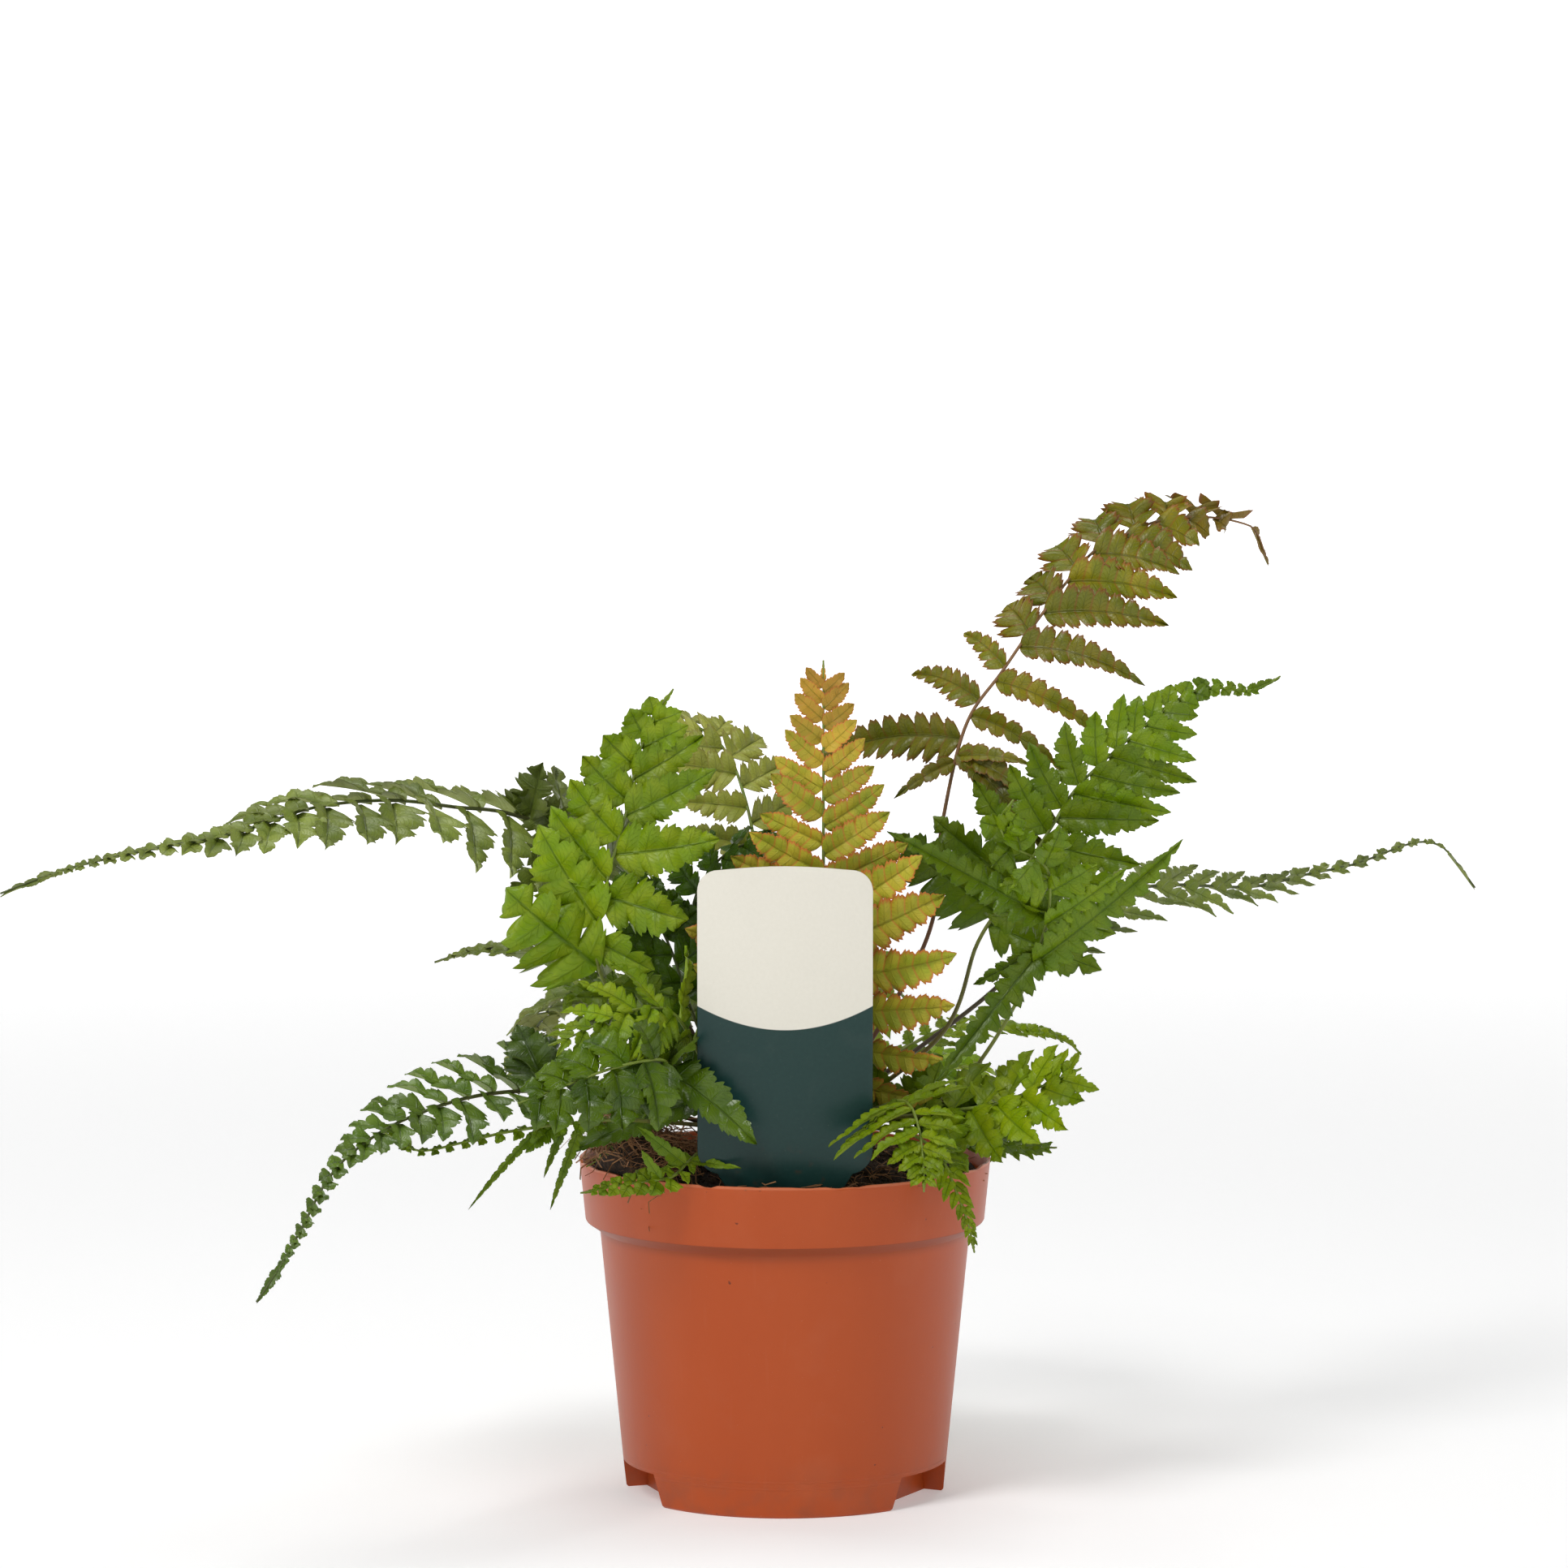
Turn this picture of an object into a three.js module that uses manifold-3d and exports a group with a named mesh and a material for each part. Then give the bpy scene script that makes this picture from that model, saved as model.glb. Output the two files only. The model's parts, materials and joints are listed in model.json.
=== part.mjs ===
// Potted autumn fern in a 12 cm grower's pot, with a plain plant label.
// Millimetres, +Z up. The origin is the centre of the pot's base on the ground. The label faces -Y.
import * as THREE from 'three'
import { mergeVertices } from 'three/addons/utils/BufferGeometryUtils.js'
import Module from 'manifold-3d'

const wasm = await Module()
wasm.setup()

// Pot: a 12 cm injection-moulded grower's pot
const POT_HEIGHT = 98
const RIM_RADIUS = 60
const BAND_HEIGHT = 18
const BAND_LOW_RADIUS = 58.2
const CHAMFER_HEIGHT = 3
const BODY_TOP_RADIUS = 54
const BASE_RADIUS = 46.5
const WALL = 1.2
const FOOT_WIDTH = 9.5
const FLOOR_TOP = 6
const POT_SEGMENTS = 32
const DRAIN_HOLES = 5
const DRAIN_RADIUS = 3.5
const DRAIN_CIRCLE_RADIUS = 24
// Notches between the feet, at angles from the front, positive to the right
const NOTCH_ANGLES = [-71, 63, 176]
const NOTCH_HEIGHT = 9.5
const NOTCH_LOW_HALF = 17.6
const NOTCH_HIGH_HALF = 14.4

// Root ball, crown and what stands in them
const GAP = 0.3
const SOIL_EDGE_Z = 95
const SOIL_MIDDLE_Z = 101
const MOUND = { x: -41, y: -21, radius: 14, height: 8 }
const CROWN = { x: 0, y: -1, radius: 29, bottom: 83, top: 106 }
const HOLE_CLEARANCE = 0.35

// Label: a flat tag on a pointed stake
const LABEL_WIDTH = 50
const LABEL_TOP_Z = 188.5
const LABEL_SHOULDER_Z = 105
const LABEL_NECK_Z = 82
const LABEL_NECK_HALF = 8
const LABEL_POINT_Z = 54
const LABEL_THICKNESS = 0.8
const LABEL_CORNER = 7
const LABEL_CROWNING = 1.5
const LABEL_Y = -47.5

// Fronds: stalks and leaflets
const STALK_RADIUS = 1.15
const MIDRIB_TIP_RADIUS = 0.4
const STALK_SIDES = 4
const STALK_STEP = 22
const FOOT_LENGTH = 17
const LEAFLET_RIB = 0.5
const LEAFLET_ROOT_HALF = 0.5
const LEAFLET_TIP_AT = 0.96
const LEAFLET_CUP = 0.12
const LEAFLET_ROLL = 12
const END_BAY = 0.25
const LOBE_LEAN = 0.25
const MOST_LOBES = 3
const LEAFLET_END = 0.96
const CROWDING = 0.85
const USUAL_SWEEP = 0.1
const USUAL_CUT = 0.5
const END_RIB = 0.32
const END_START = 0.2
const ROD_END = 0.7
const SIMPLIFIED = 0.04
const DOWN = new THREE.Vector3(0, 0, -1)

const radians = THREE.MathUtils.degToRad
const lerp = THREE.MathUtils.lerp

// Between a three.js geometry and a solid that can be cut and joined
function solid(geometry) {
  const bare = geometry.clone()
  bare.deleteAttribute('normal')
  bare.deleteAttribute('uv')
  const merged = mergeVertices(bare, 1e-4)
  return new wasm.Manifold(new wasm.Mesh({
    numProp: 3,
    vertProperties: new Float32Array(merged.attributes.position.array),
    triVerts: new Uint32Array(merged.index.array),
  }))
}

function geometryOf(body) {
  const mesh = body.getMesh()
  const geometry = new THREE.BufferGeometry()
  geometry.setAttribute('position', new THREE.BufferAttribute(new Float32Array(mesh.vertProperties), 3))
  geometry.setIndex(new THREE.BufferAttribute(new Uint32Array(mesh.triVerts), 1))
  geometry.computeVertexNormals()
  return geometry
}

// A turned shape about the Z axis, from [radius, height] pairs that start and end on the axis
function turned(profile, segments) {
  const points = profile.map(([radius, height]) => new THREE.Vector2(radius, height))
  return new THREE.LatheGeometry(points, segments).rotateX(Math.PI / 2)
}

function potRadiusAt(z) {
  const bodyTop = POT_HEIGHT - BAND_HEIGHT - CHAMFER_HEIGHT
  return lerp(BASE_RADIUS, BODY_TOP_RADIUS, z / bodyTop)
}

// A block under the pot's edge with sloping ends, which is the space between two feet, grown by a margin
function notchBlock(angle, margin) {
  const low = NOTCH_LOW_HALF + margin
  const high = NOTCH_HIGH_HALF + margin
  const outline = new THREE.Shape([
    new THREE.Vector2(-low, -2),
    new THREE.Vector2(low, -2),
    new THREE.Vector2(high, NOTCH_HEIGHT + margin),
    new THREE.Vector2(-high, NOTCH_HEIGHT + margin),
  ])
  const depth = FOOT_WIDTH + margin + 6
  const block = new THREE.ExtrudeGeometry(outline, { depth, bevelEnabled: false })
  block.rotateX(Math.PI / 2)
  block.translate(0, -(BASE_RADIUS - FOOT_WIDTH) + margin, 0)
  block.rotateZ(radians(angle))
  return solid(block)
}

function buildPot() {
  const chamferTop = POT_HEIGHT - BAND_HEIGHT
  const bodyTop = chamferTop - CHAMFER_HEIGHT
  const footInner = BASE_RADIUS - FOOT_WIDTH
  const outside = [
    [BASE_RADIUS, 0], [BODY_TOP_RADIUS, bodyTop], [BAND_LOW_RADIUS, chamferTop], [RIM_RADIUS, POT_HEIGHT],
  ]
  const inside = [
    [RIM_RADIUS - WALL, POT_HEIGHT], [BAND_LOW_RADIUS - WALL, chamferTop + WALL * 0.7],
    [BODY_TOP_RADIUS - WALL, bodyTop + WALL * 0.7], [potRadiusAt(WALL) - WALL, WALL],
    [footInner + WALL, WALL], [footInner + WALL, FLOOR_TOP], [0, FLOOR_TOP],
  ]
  const underside = [[0, FLOOR_TOP - WALL], [footInner, FLOOR_TOP - WALL], [footInner, 0]]
  const envelope = solid(turned([[0, 0], ...outside, [0, POT_HEIGHT]], POT_SEGMENTS))
  let pot = solid(turned([...underside, ...outside, ...inside], POT_SEGMENTS))
  for (const angle of NOTCH_ANGLES) {
    pot = pot.add(notchBlock(angle, WALL).intersect(envelope)).subtract(notchBlock(angle, 0))
  }
  for (let i = 0; i < DRAIN_HOLES; i += 1) {
    const hole = new THREE.CylinderGeometry(DRAIN_RADIUS, DRAIN_RADIUS, FLOOR_TOP * 2, 8).rotateX(Math.PI / 2)
    hole.translate(DRAIN_CIRCLE_RADIUS, 0, FLOOR_TOP)
    hole.rotateZ((i + 0.3) / DRAIN_HOLES * Math.PI * 2)
    pot = pot.subtract(solid(hole))
  }
  return pot
}

// Height of the root ball's top, with its mound at the front left
function soilHeight(x, y) {
  const radius = Math.hypot(x, y)
  const dome = lerp(SOIL_MIDDLE_Z, SOIL_EDGE_Z, (radius / RIM_RADIUS) ** 2)
  const reach = ((x - MOUND.x) ** 2 + (y - MOUND.y) ** 2) / MOUND.radius ** 2
  const lumps = 0.7 * Math.sin(x * 0.31 + 1) * Math.sin(y * 0.27)
  return dome + MOUND.height * Math.exp(-reach) + lumps
}

function buildRootBall() {
  const chamferTop = POT_HEIGHT - BAND_HEIGHT
  const bodyTop = chamferTop - CHAMFER_HEIGHT
  const side = WALL + GAP
  const wall = [
    [0, FLOOR_TOP + GAP], [potRadiusAt(FLOOR_TOP) - side, FLOOR_TOP + GAP],
    [BODY_TOP_RADIUS - side, bodyTop + WALL], [BAND_LOW_RADIUS - side, chamferTop + WALL * 1.2],
  ]
  const edgeRadius = lerp(BAND_LOW_RADIUS, RIM_RADIUS, (SOIL_EDGE_Z - chamferTop) / BAND_HEIGHT) - side
  const top = [1, 0.8, 0.52, 0].map((part) => [edgeRadius * part, SOIL_EDGE_Z])
  const geometry = turned([...wall, ...top], POT_SEGMENTS)
  const position = geometry.attributes.position
  for (let i = 0; i < position.count; i += 1) {
    if (position.getZ(i) > SOIL_EDGE_Z - 1) {
      position.setZ(i, soilHeight(position.getX(i), position.getY(i)))
    }
  }
  let ball = solid(geometry)
  for (const angle of NOTCH_ANGLES) {
    ball = ball.subtract(notchBlock(angle, WALL + GAP))
  }
  return ball
}

// The crown is a short scaly rhizome: a lumpy rounded clump
function crownGeometry(margin) {
  const height = CROWN.top - CROWN.bottom
  const geometry = new THREE.SphereGeometry(1, 12, 5).rotateX(Math.PI / 2)
  const position = geometry.attributes.position
  const point = new THREE.Vector3()
  for (let i = 0; i < position.count; i += 1) {
    point.fromBufferAttribute(position, i)
    const angle = Math.atan2(point.y, point.x)
    const lumps = 1 + 0.07 * Math.sin(angle * 5) * Math.hypot(point.x, point.y)
    position.setXYZ(
      i,
      CROWN.x + point.x * (CROWN.radius * lumps + margin),
      CROWN.y + point.y * (CROWN.radius * lumps + margin),
      (CROWN.top + CROWN.bottom) / 2 + point.z * (height / 2 + margin),
    )
  }
  return geometry
}

function labelGeometry(margin) {
  const half = LABEL_WIDTH / 2 + margin
  const corner = LABEL_CORNER
  const sideTop = LABEL_TOP_Z - LABEL_CROWNING
  const cornerTop = LABEL_TOP_Z - LABEL_CROWNING / 2
  const outline = new THREE.Shape()
  outline.moveTo(0, LABEL_POINT_Z - margin * 2)
  outline.lineTo(LABEL_NECK_HALF + margin, LABEL_NECK_Z - 14)
  outline.lineTo(LABEL_NECK_HALF + margin, LABEL_NECK_Z)
  outline.quadraticCurveTo(half, LABEL_NECK_Z + 10, half, LABEL_SHOULDER_Z)
  outline.lineTo(half, LABEL_TOP_Z - corner)
  outline.quadraticCurveTo(half, sideTop, half - corner, cornerTop)
  outline.quadraticCurveTo(0, LABEL_TOP_Z + LABEL_CROWNING / 2, -half + corner, cornerTop)
  outline.quadraticCurveTo(-half, sideTop, -half, LABEL_TOP_Z - corner)
  outline.lineTo(-half, LABEL_SHOULDER_Z)
  outline.quadraticCurveTo(-half, LABEL_NECK_Z + 10, -LABEL_NECK_HALF - margin, LABEL_NECK_Z)
  outline.lineTo(-LABEL_NECK_HALF - margin, LABEL_NECK_Z - 14)
  const depth = LABEL_THICKNESS + margin * 2
  const plate = new THREE.ExtrudeGeometry(outline, { depth, bevelEnabled: false, curveSegments: 5 })
  return plate.rotateX(Math.PI / 2).translate(0, LABEL_Y + depth / 2, 0)
}

// A value that changes evenly along a frond, given at equal steps
function along(values, part) {
  const place = THREE.MathUtils.clamp(part, 0, 1) * (values.length - 1)
  const step = Math.min(Math.floor(place), values.length - 2)
  return lerp(values[step], values[step + 1], place - step)
}

// A direction with its part along another one taken out
function squared(way, axis) {
  return way.clone().addScaledVector(axis, -way.dot(axis)).normalize()
}

// Where the leaflets at a part of the leafy length grow, as a part of the whole stalk and midrib
function placeOf(frond, part) {
  return lerp(frond.bare, LEAFLET_END, Math.max(part, 0) ** CROWDING)
}

// Where a leaflet pair's stretch of midrib starts
function pairStart(frond, pair) {
  return pair > 0 ? placeOf(frond, (pair - 0.35) / frond.pairs) : frond.bare * 0.98
}

// A frond's stalk and midrib as rings: centre, way forward and upper side, with a ring between leaflet pairs
function frondRings(frond) {
  const points = frond.path.map(([x, y, z]) => new THREE.Vector3(x, y, z))
  const curve = new THREE.CatmullRomCurve3(points, false, 'catmullrom', 0.5)
  const foot = FOOT_LENGTH / curve.getLength()
  const stalkSteps = Math.max(2, Math.round((frond.bare / foot - 1) * FOOT_LENGTH / STALK_STEP))
  const places = [0]
  for (let i = 0; i < stalkSteps; i += 1) {
    places.push(lerp(foot, frond.bare * 0.98, i / stalkSteps))
  }
  for (let pair = 0; pair < frond.pairs; pair += 1) {
    places.push(pairStart(frond, pair))
  }
  places.push(LEAFLET_END, 1)
  const rings = places.map((place) => {
    return { place, centre: curve.getPointAt(place), forward: curve.getTangentAt(place) }
  })
  const firstLeafy = stalkSteps + 1
  const [faceRoot, faceTip] = frond.face.map((way) => new THREE.Vector3(...way).normalize())
  for (let i = firstLeafy; i < rings.length; i += 1) {
    const part = (i - firstLeafy) / (rings.length - 1 - firstLeafy)
    rings[i].upper = squared(faceRoot.clone().lerp(faceTip, part), rings[i].forward)
  }
  for (let i = firstLeafy - 1; i >= 0; i -= 1) {
    rings[i].upper = squared(rings[i + 1].upper, rings[i].forward)
  }
  return rings
}

// The point and directions at a place between two rings
function ringAt(rings, place) {
  const next = Math.max(1, rings.findIndex((ring) => ring.place >= place))
  const [low, high] = [rings[next - 1], rings[next]]
  const part = (place - low.place) / (high.place - low.place)
  const centre = low.centre.clone().lerp(high.centre, part)
  const forward = low.forward.clone().lerp(high.forward, part).normalize()
  return { place, centre, forward, upper: squared(low.upper.clone().lerp(high.upper, part), forward) }
}

// A place in the stretch of midrib where the end blade starts
function endPlace(frond, part) {
  const first = frond.pairs - frond.small
  return lerp(pairStart(frond, first), pairStart(frond, first + 1), part)
}

// A rod with flat sides through the rings, tapered from its foot to its tip
function rodThrough(rings, startRadius, endRadius) {
  const steps = rings.length - 1
  const rod = new THREE.CylinderGeometry(1, 1, 1, STALK_SIDES, steps, false, Math.PI / STALK_SIDES)
  const position = rod.attributes.position
  for (let i = 0; i < position.count; i += 1) {
    const step = Math.round((position.getY(i) + 0.5) * steps)
    const { centre, forward, upper, place } = rings[step]
    const across = new THREE.Vector3().crossVectors(forward, upper)
    const radius = lerp(startRadius, endRadius, place)
    const point = centre.clone().addScaledVector(upper, position.getX(i) * radius)
    point.addScaledVector(across, -position.getZ(i) * radius)
    position.setXYZ(i, point.x, point.y, point.z)
  }
  return solid(rod)
}

// Where one leaflet grows and how it lies: its root, way out, own upper side, length and half-width
function leafletOf(frond, rings, pair, side) {
  const left = side < 0
  const part = (pair + (left ? 0.3 : 0)) / frond.pairs
  const { centre, forward, upper } = ringAt(rings, placeOf(frond, part))
  const across = new THREE.Vector3().crossVectors(forward, upper).multiplyScalar(side)
  const lift = radians(along((left && frond.liftLeft) || frond.lift, part))
  const spread = radians(along((left && frond.spreadLeft) || frond.spread, part))
  const roll = radians(LEAFLET_ROLL)
  const outward = across.clone().multiplyScalar(Math.cos(lift)).addScaledVector(upper, Math.sin(lift))
  const way = forward.clone().multiplyScalar(Math.cos(spread)).addScaledVector(outward, Math.sin(spread))
  const top = upper.clone().multiplyScalar(Math.cos(lift)).addScaledVector(across, -Math.sin(lift))
  top.multiplyScalar(Math.cos(roll)).addScaledVector(forward, -Math.sin(roll))
  const length = along((left && frond.leafLeft) || frond.leaf, part)
  const half = length * along(frond.width, part)
  return { root: centre, way, forward, upper: squared(top, way), length, half }
}

// A point of a leaflet, from its part along the rib, its distance to a side and its height over the rib
function leafletPoint(frond, leaflet, part, aside, height) {
  const { root, way, forward, upper, length } = leaflet
  const bend = part * part * length
  const breadth = new THREE.Vector3().crossVectors(way, upper)
  return root.clone()
    .addScaledVector(way, part * length)
    .addScaledVector(forward, (frond.sweep ?? USUAL_SWEEP) * bend)
    .addScaledVector(DOWN, frond.droop * bend)
    .addScaledVector(upper, height)
    .addScaledVector(breadth, aside)
}

// Half-width of a leaflet before its lobes are cut, as a part of its greatest: blunt root, drawn-out tip
function leafletShape(part) {
  return Math.min(1, 0.45 + part * 2.5) * (1 - part ** 1.6) ** 0.8
}

// A thin blade with a rib in its middle: its outline goes from bay to lobe to bay on both sides, to one tip.
// ribs holds pairs of points over and under the rib, one at each bay.
function bladeSolid(ribs, tip, sides) {
  const points = []
  const faces = []
  const addPoint = (point) => points.push(point) - 1
  const top = ribs.map((rib) => addPoint(rib.top))
  const bottom = ribs.map((rib) => addPoint(rib.bottom))
  const end = addPoint(tip)
  for (const { bays, lobes, turn } of sides) {
    const bay = bays.map(addPoint)
    const lobe = lobes.map(addPoint)
    const addFace = (a, b, c) => faces.push(turn > 0 ? [a, b, c] : [a, c, b])
    addFace(top[0], bottom[0], bay[0])
    for (let i = 0; i < lobe.length; i += 1) {
      for (const [rib, flip] of [[top, false], [bottom, true]]) {
        const addSide = (a, b, c) => (flip ? addFace(a, c, b) : addFace(a, b, c))
        const last = i === lobe.length - 1
        addSide(rib[i], bay[i], lobe[i])
        addSide(rib[i], lobe[i], last ? end : rib[i + 1])
        if (!last) addSide(rib[i + 1], lobe[i], bay[i + 1])
      }
    }
  }
  const geometry = new THREE.BufferGeometry().setFromPoints(points)
  geometry.setIndex(faces.flat())
  return solid(geometry)
}

// One leaflet, cut into lobes that lean to its tip
function leafletSolid(frond, leaflet) {
  const { length, half } = leaflet
  const count = THREE.MathUtils.clamp(Math.round(length / frond.lobe), 1, MOST_LOBES)
  const steps = Array.from({ length: count }, (_, i) => i)
  const point = (part, aside, height) => leafletPoint(frond, leaflet, part, aside, height)
  const ribs = steps.map((i) => {
    const rib = LEAFLET_RIB * (1 - 0.35 * i / count)
    return { top: point(i / count, 0, rib), bottom: point(i / count, 0, -rib) }
  })
  const sides = [-1, 1].map((turn) => ({
    turn,
    bays: steps.map((i) => {
      const uncut = 1 - (frond.cut ?? USUAL_CUT)
      const reach = i > 0 ? half * leafletShape(i / count) * uncut : LEAFLET_ROOT_HALF
      return point(i / count, turn * reach, 0)
    }),
    lobes: steps.map((i) => {
      const middle = (i + 0.55) / count
      const reach = half * leafletShape(middle)
      const part = Math.min(middle + LOBE_LEAN * reach / length, LEAFLET_TIP_AT)
      return point(part, turn * reach, reach * LEAFLET_CUP)
    }),
  }))
  return bladeSolid(ribs, point(1, 0, 0), sides)
}

// The frond's end, where its leaflets are short: one blade along the midrib, with a lobe for each leaflet
function endSolid(frond, rings) {
  const first = frond.pairs - frond.small
  const pairs = Array.from({ length: frond.small }, (_, i) => first + i)
  const bases = pairs.map((pair, i) => {
    return ringAt(rings, i > 0 ? pairStart(frond, pair) : endPlace(frond, END_START))
  })
  const ribs = bases.map(({ centre, upper }) => ({
    top: centre.clone().addScaledVector(upper, END_RIB),
    bottom: centre.clone().addScaledVector(upper, -END_RIB),
  }))
  const sides = [-1, 1].map((turn) => ({
    turn,
    bays: bases.map(({ centre, forward, upper }, i) => {
      const across = new THREE.Vector3().crossVectors(forward, upper)
      const { length } = leafletOf(frond, rings, pairs[i], turn)
      return centre.clone().addScaledVector(across, turn * (i > 0 ? length * END_BAY : LEAFLET_ROOT_HALF))
    }),
    lobes: pairs.map((pair) => leafletPoint(frond, leafletOf(frond, rings, pair, turn), 1, 0, 0)),
  }))
  return bladeSolid(ribs, rings.at(-1).centre, sides)
}

function frondSolid(frond) {
  const rings = frondRings(frond)
  const apart = frond.pairs - frond.small
  const stalk = rings.filter((ring) => ring.place <= pairStart(frond, apart))
  stalk.push(ringAt(rings, endPlace(frond, ROD_END)))
  const pieces = [rodThrough(stalk, STALK_RADIUS, MIDRIB_TIP_RADIUS), endSolid(frond, rings)]
  for (let pair = 0; pair < apart; pair += 1) {
    pieces.push(leafletSolid(frond, leafletOf(frond, rings, pair, 1)))
    pieces.push(leafletSolid(frond, leafletOf(frond, rings, pair, -1)))
  }
  return wasm.Manifold.union(pieces).simplify(SIMPLIFIED)
}

// Every frond, by name: the way of its stalk and midrib, then how its leaflets stand along it.
// path: points in mm. face: where its upper side looks, at its first leaflets and at its tip. bare: the part
// of the path below the leaflets. pairs: leaflet pairs, of which the last small ones make the frond's end.
// leaf: leaflet lengths at equal steps, mm. width: half-width over length. spread: angle to the midrib.
// lift: angle out of the frond's plane. droop: how far a tip hangs, over its length. lobe: length of one lobe.
// cut: depth of the bays between lobes. A name with Left is for that side alone.
const TONES = {
  bronze: 0x7d6a2c,
  yellow: 0xb0a032,
  bright: 0x6d9a2b,
  olive: 0x5d7430,
  dark: 0x3d6426,
  lime: 0x93a92e,
}

const FRONDS = [
  {
    name: 'frond_tall_bronze', tone: 'bronze', bare: 0.475, pairs: 12, small: 6,
    path: [[6, 8, 90], [11, 9, 107], [41, 14, 159], [46, 20, 193], [53, 24, 222], [64, 28, 238],
      [77, 34, 256], [91, 42, 272], [101, 47, 277], [113, 54, 281], [126, 62, 281], [136, 68, 279],
      [141, 72, 276], [145, 77, 266]],
    face: [[-0.3, -0.9, 0.3], [-0.3, -0.7, 0.7]], spread: [92, 56, 46, 42, 38, 34],
    spreadLeft: [94, 62, 58, 66, 78], lift: [-8, -8, 0], leaf: [32, 37, 38, 33, 26, 18, 11, 7, 4],
    leafLeft: [62, 30, 26, 22, 18, 17, 16, 12, 5], width: [0.11, 0.15, 0.15, 0.24], droop: 0.26,
    sweep: 0, lobe: 9,
  },
  {
    name: 'frond_yellow_middle', tone: 'yellow', bare: 0.24, pairs: 13, small: 7,
    path: [[4, -8, 90], [7, -12, 107], [11, -26, 143], [11, -29, 187], [11, -27, 217], [11, -23, 235],
      [11, -21, 245]],
    face: [[0, -1, 0.1], [0, -1, 0.3]], spread: [84, 68, 58, 50], lift: [6, 6],
    leaf: [20, 34, 41, 36, 26, 21, 17, 13, 9, 5], width: [0.19, 0.19, 0.3], droop: 0.05, sweep: 0.12,
    lobe: 10, cut: 0.3,
  },
  {
    name: 'frond_bright_left_of_middle', tone: 'bright', bare: 0.46, pairs: 9, small: 3,
    path: [[-13, -7, 90], [-18, -10, 107], [-45, -25, 142], [-54, -31, 160], [-51, -32, 182], [-46, -30, 200],
      [-42, -28, 218], [-37, -26, 230], [-32, -24, 237]],
    face: [[-0.1, -1, 0.2], [0.2, -1, 0.4]], spread: [88, 62, 50], lift: [8, 8],
    leaf: [23, 26, 29, 26, 21, 13, 4], leafLeft: [28, 28, 24, 22, 18, 11, 3], width: [0.32, 0.27, 0.32],
    droop: 0.05, lobe: 9, cut: 0.3,
  },
  {
    name: 'frond_long_left', tone: 'olive', bare: 0.34, pairs: 14, small: 9,
    path: [[-10, 8, 90], [-14, 9, 107], [-44, 12, 164], [-62, 6, 190], [-80, -4, 199], [-95, -15, 202],
      [-109, -27, 205], [-122, -39, 206], [-136, -52, 205], [-155, -70, 200], [-172, -83, 198],
      [-191, -94, 195], [-206, -101, 191], [-217, -104, 187]],
    face: [[0, -0.5, 0.86], [0, -0.4, 0.9]], spread: [66, 54, 40, 32], lift: [-4, -4],
    leaf: [26, 26, 23, 19, 14, 10, 7, 5], width: [0.24, 0.24, 0.3], droop: 0.1, lobe: 9,
  },
  {
    name: 'frond_drooping_left', tone: 'dark', bare: 0.3, pairs: 12, small: 7,
    path: [[-14, -11, 90], [-18, -14, 107], [-48, -32, 119], [-67, -48, 124], [-87, -72, 126],
      [-106, -98, 123], [-119, -118, 117], [-126, -130, 110], [-132, -143, 99], [-138, -152, 89],
      [-143, -158, 82]],
    face: [[0, -0.55, 0.83], [0.3, -0.7, 0.6]], spread: [78, 56, 42, 34], lift: [8, 4],
    leaf: [26, 20, 17, 14, 11, 8, 6, 4], leafLeft: [15, 16, 15, 12, 9, 7, 6, 4], width: [0.34, 0.26, 0.3],
    droop: 0.08, lobe: 9,
  },
  {
    name: 'frond_thin_left', tone: 'olive', bare: 0.48, pairs: 7, small: 4,
    path: [[-9, -16, 90], [-12, -20, 107], [-42, -44, 115], [-60, -56, 116], [-78, -66, 115], [-91, -74, 113],
      [-103, -82, 112], [-112, -88, 118]],
    face: [[0, -0.5, 0.86], [0, -0.7, 0.7]], spread: [62, 44], lift: [-20, -10],
    leaf: [9, 9, 7, 5, 4], leafLeft: [15, 12, 8, 6, 4], width: [0.24, 0.3], droop: 0.3, lobe: 7,
  },
  {
    name: 'frond_glossy_left_of_label', tone: 'dark', bare: 0.57, pairs: 5, small: 2,
    path: [[0, -18, 90], [-3, -22, 107], [-20, -36, 121], [-32, -47, 128], [-34, -58, 134], [-40, -65, 135],
      [-51, -71, 133], [-63, -76, 129], [-75, -80, 125]],
    face: [[0, -0.7, 0.7], [0, -0.6, 0.8]], spread: [75, 60, 50], spreadLeft: [122, 80, 50], lift: [0, 0],
    leaf: [12, 12, 11, 8, 5], leafLeft: [27, 19, 13, 9, 5], width: [0.36, 0.3], droop: 0.2, lobe: 8, cut: 0.3,
  },
  {
    name: 'frond_over_rim_left', tone: 'bright', bare: 0.58, pairs: 4, small: 2,
    path: [[-4, -18, 90], [-7, -21, 107], [-18, -35, 113], [-28, -45, 110], [-33, -53, 107], [-40, -59, 104],
      [-49, -62, 100], [-58, -63, 96]],
    face: [[0, -0.6, 0.8], [0, -0.6, 0.8]], spread: [65, 50], lift: [0, 0],
    leaf: [12, 12, 9, 4], leafLeft: [8, 9, 8, 4], width: [0.3, 0.3], droop: 0, lobe: 7, cut: 0.4,
  },
  {
    name: 'frond_drooping_front_right', tone: 'lime', bare: 0.58, pairs: 6, small: 2,
    path: [[7, -17, 90], [10, -20, 107], [29, -40, 119], [35, -52, 121], [38, -64, 115], [39, -74, 106],
      [39, -80, 100]],
    face: [[0, -0.4, 0.9], [0, -0.95, 0.3]], spread: [84, 70, 55], lift: [0, 0],
    leaf: [26, 27, 24, 18, 11, 7], leafLeft: [20, 22, 20, 16, 11, 7], width: [0.22, 0.22], droop: 0.05,
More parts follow.
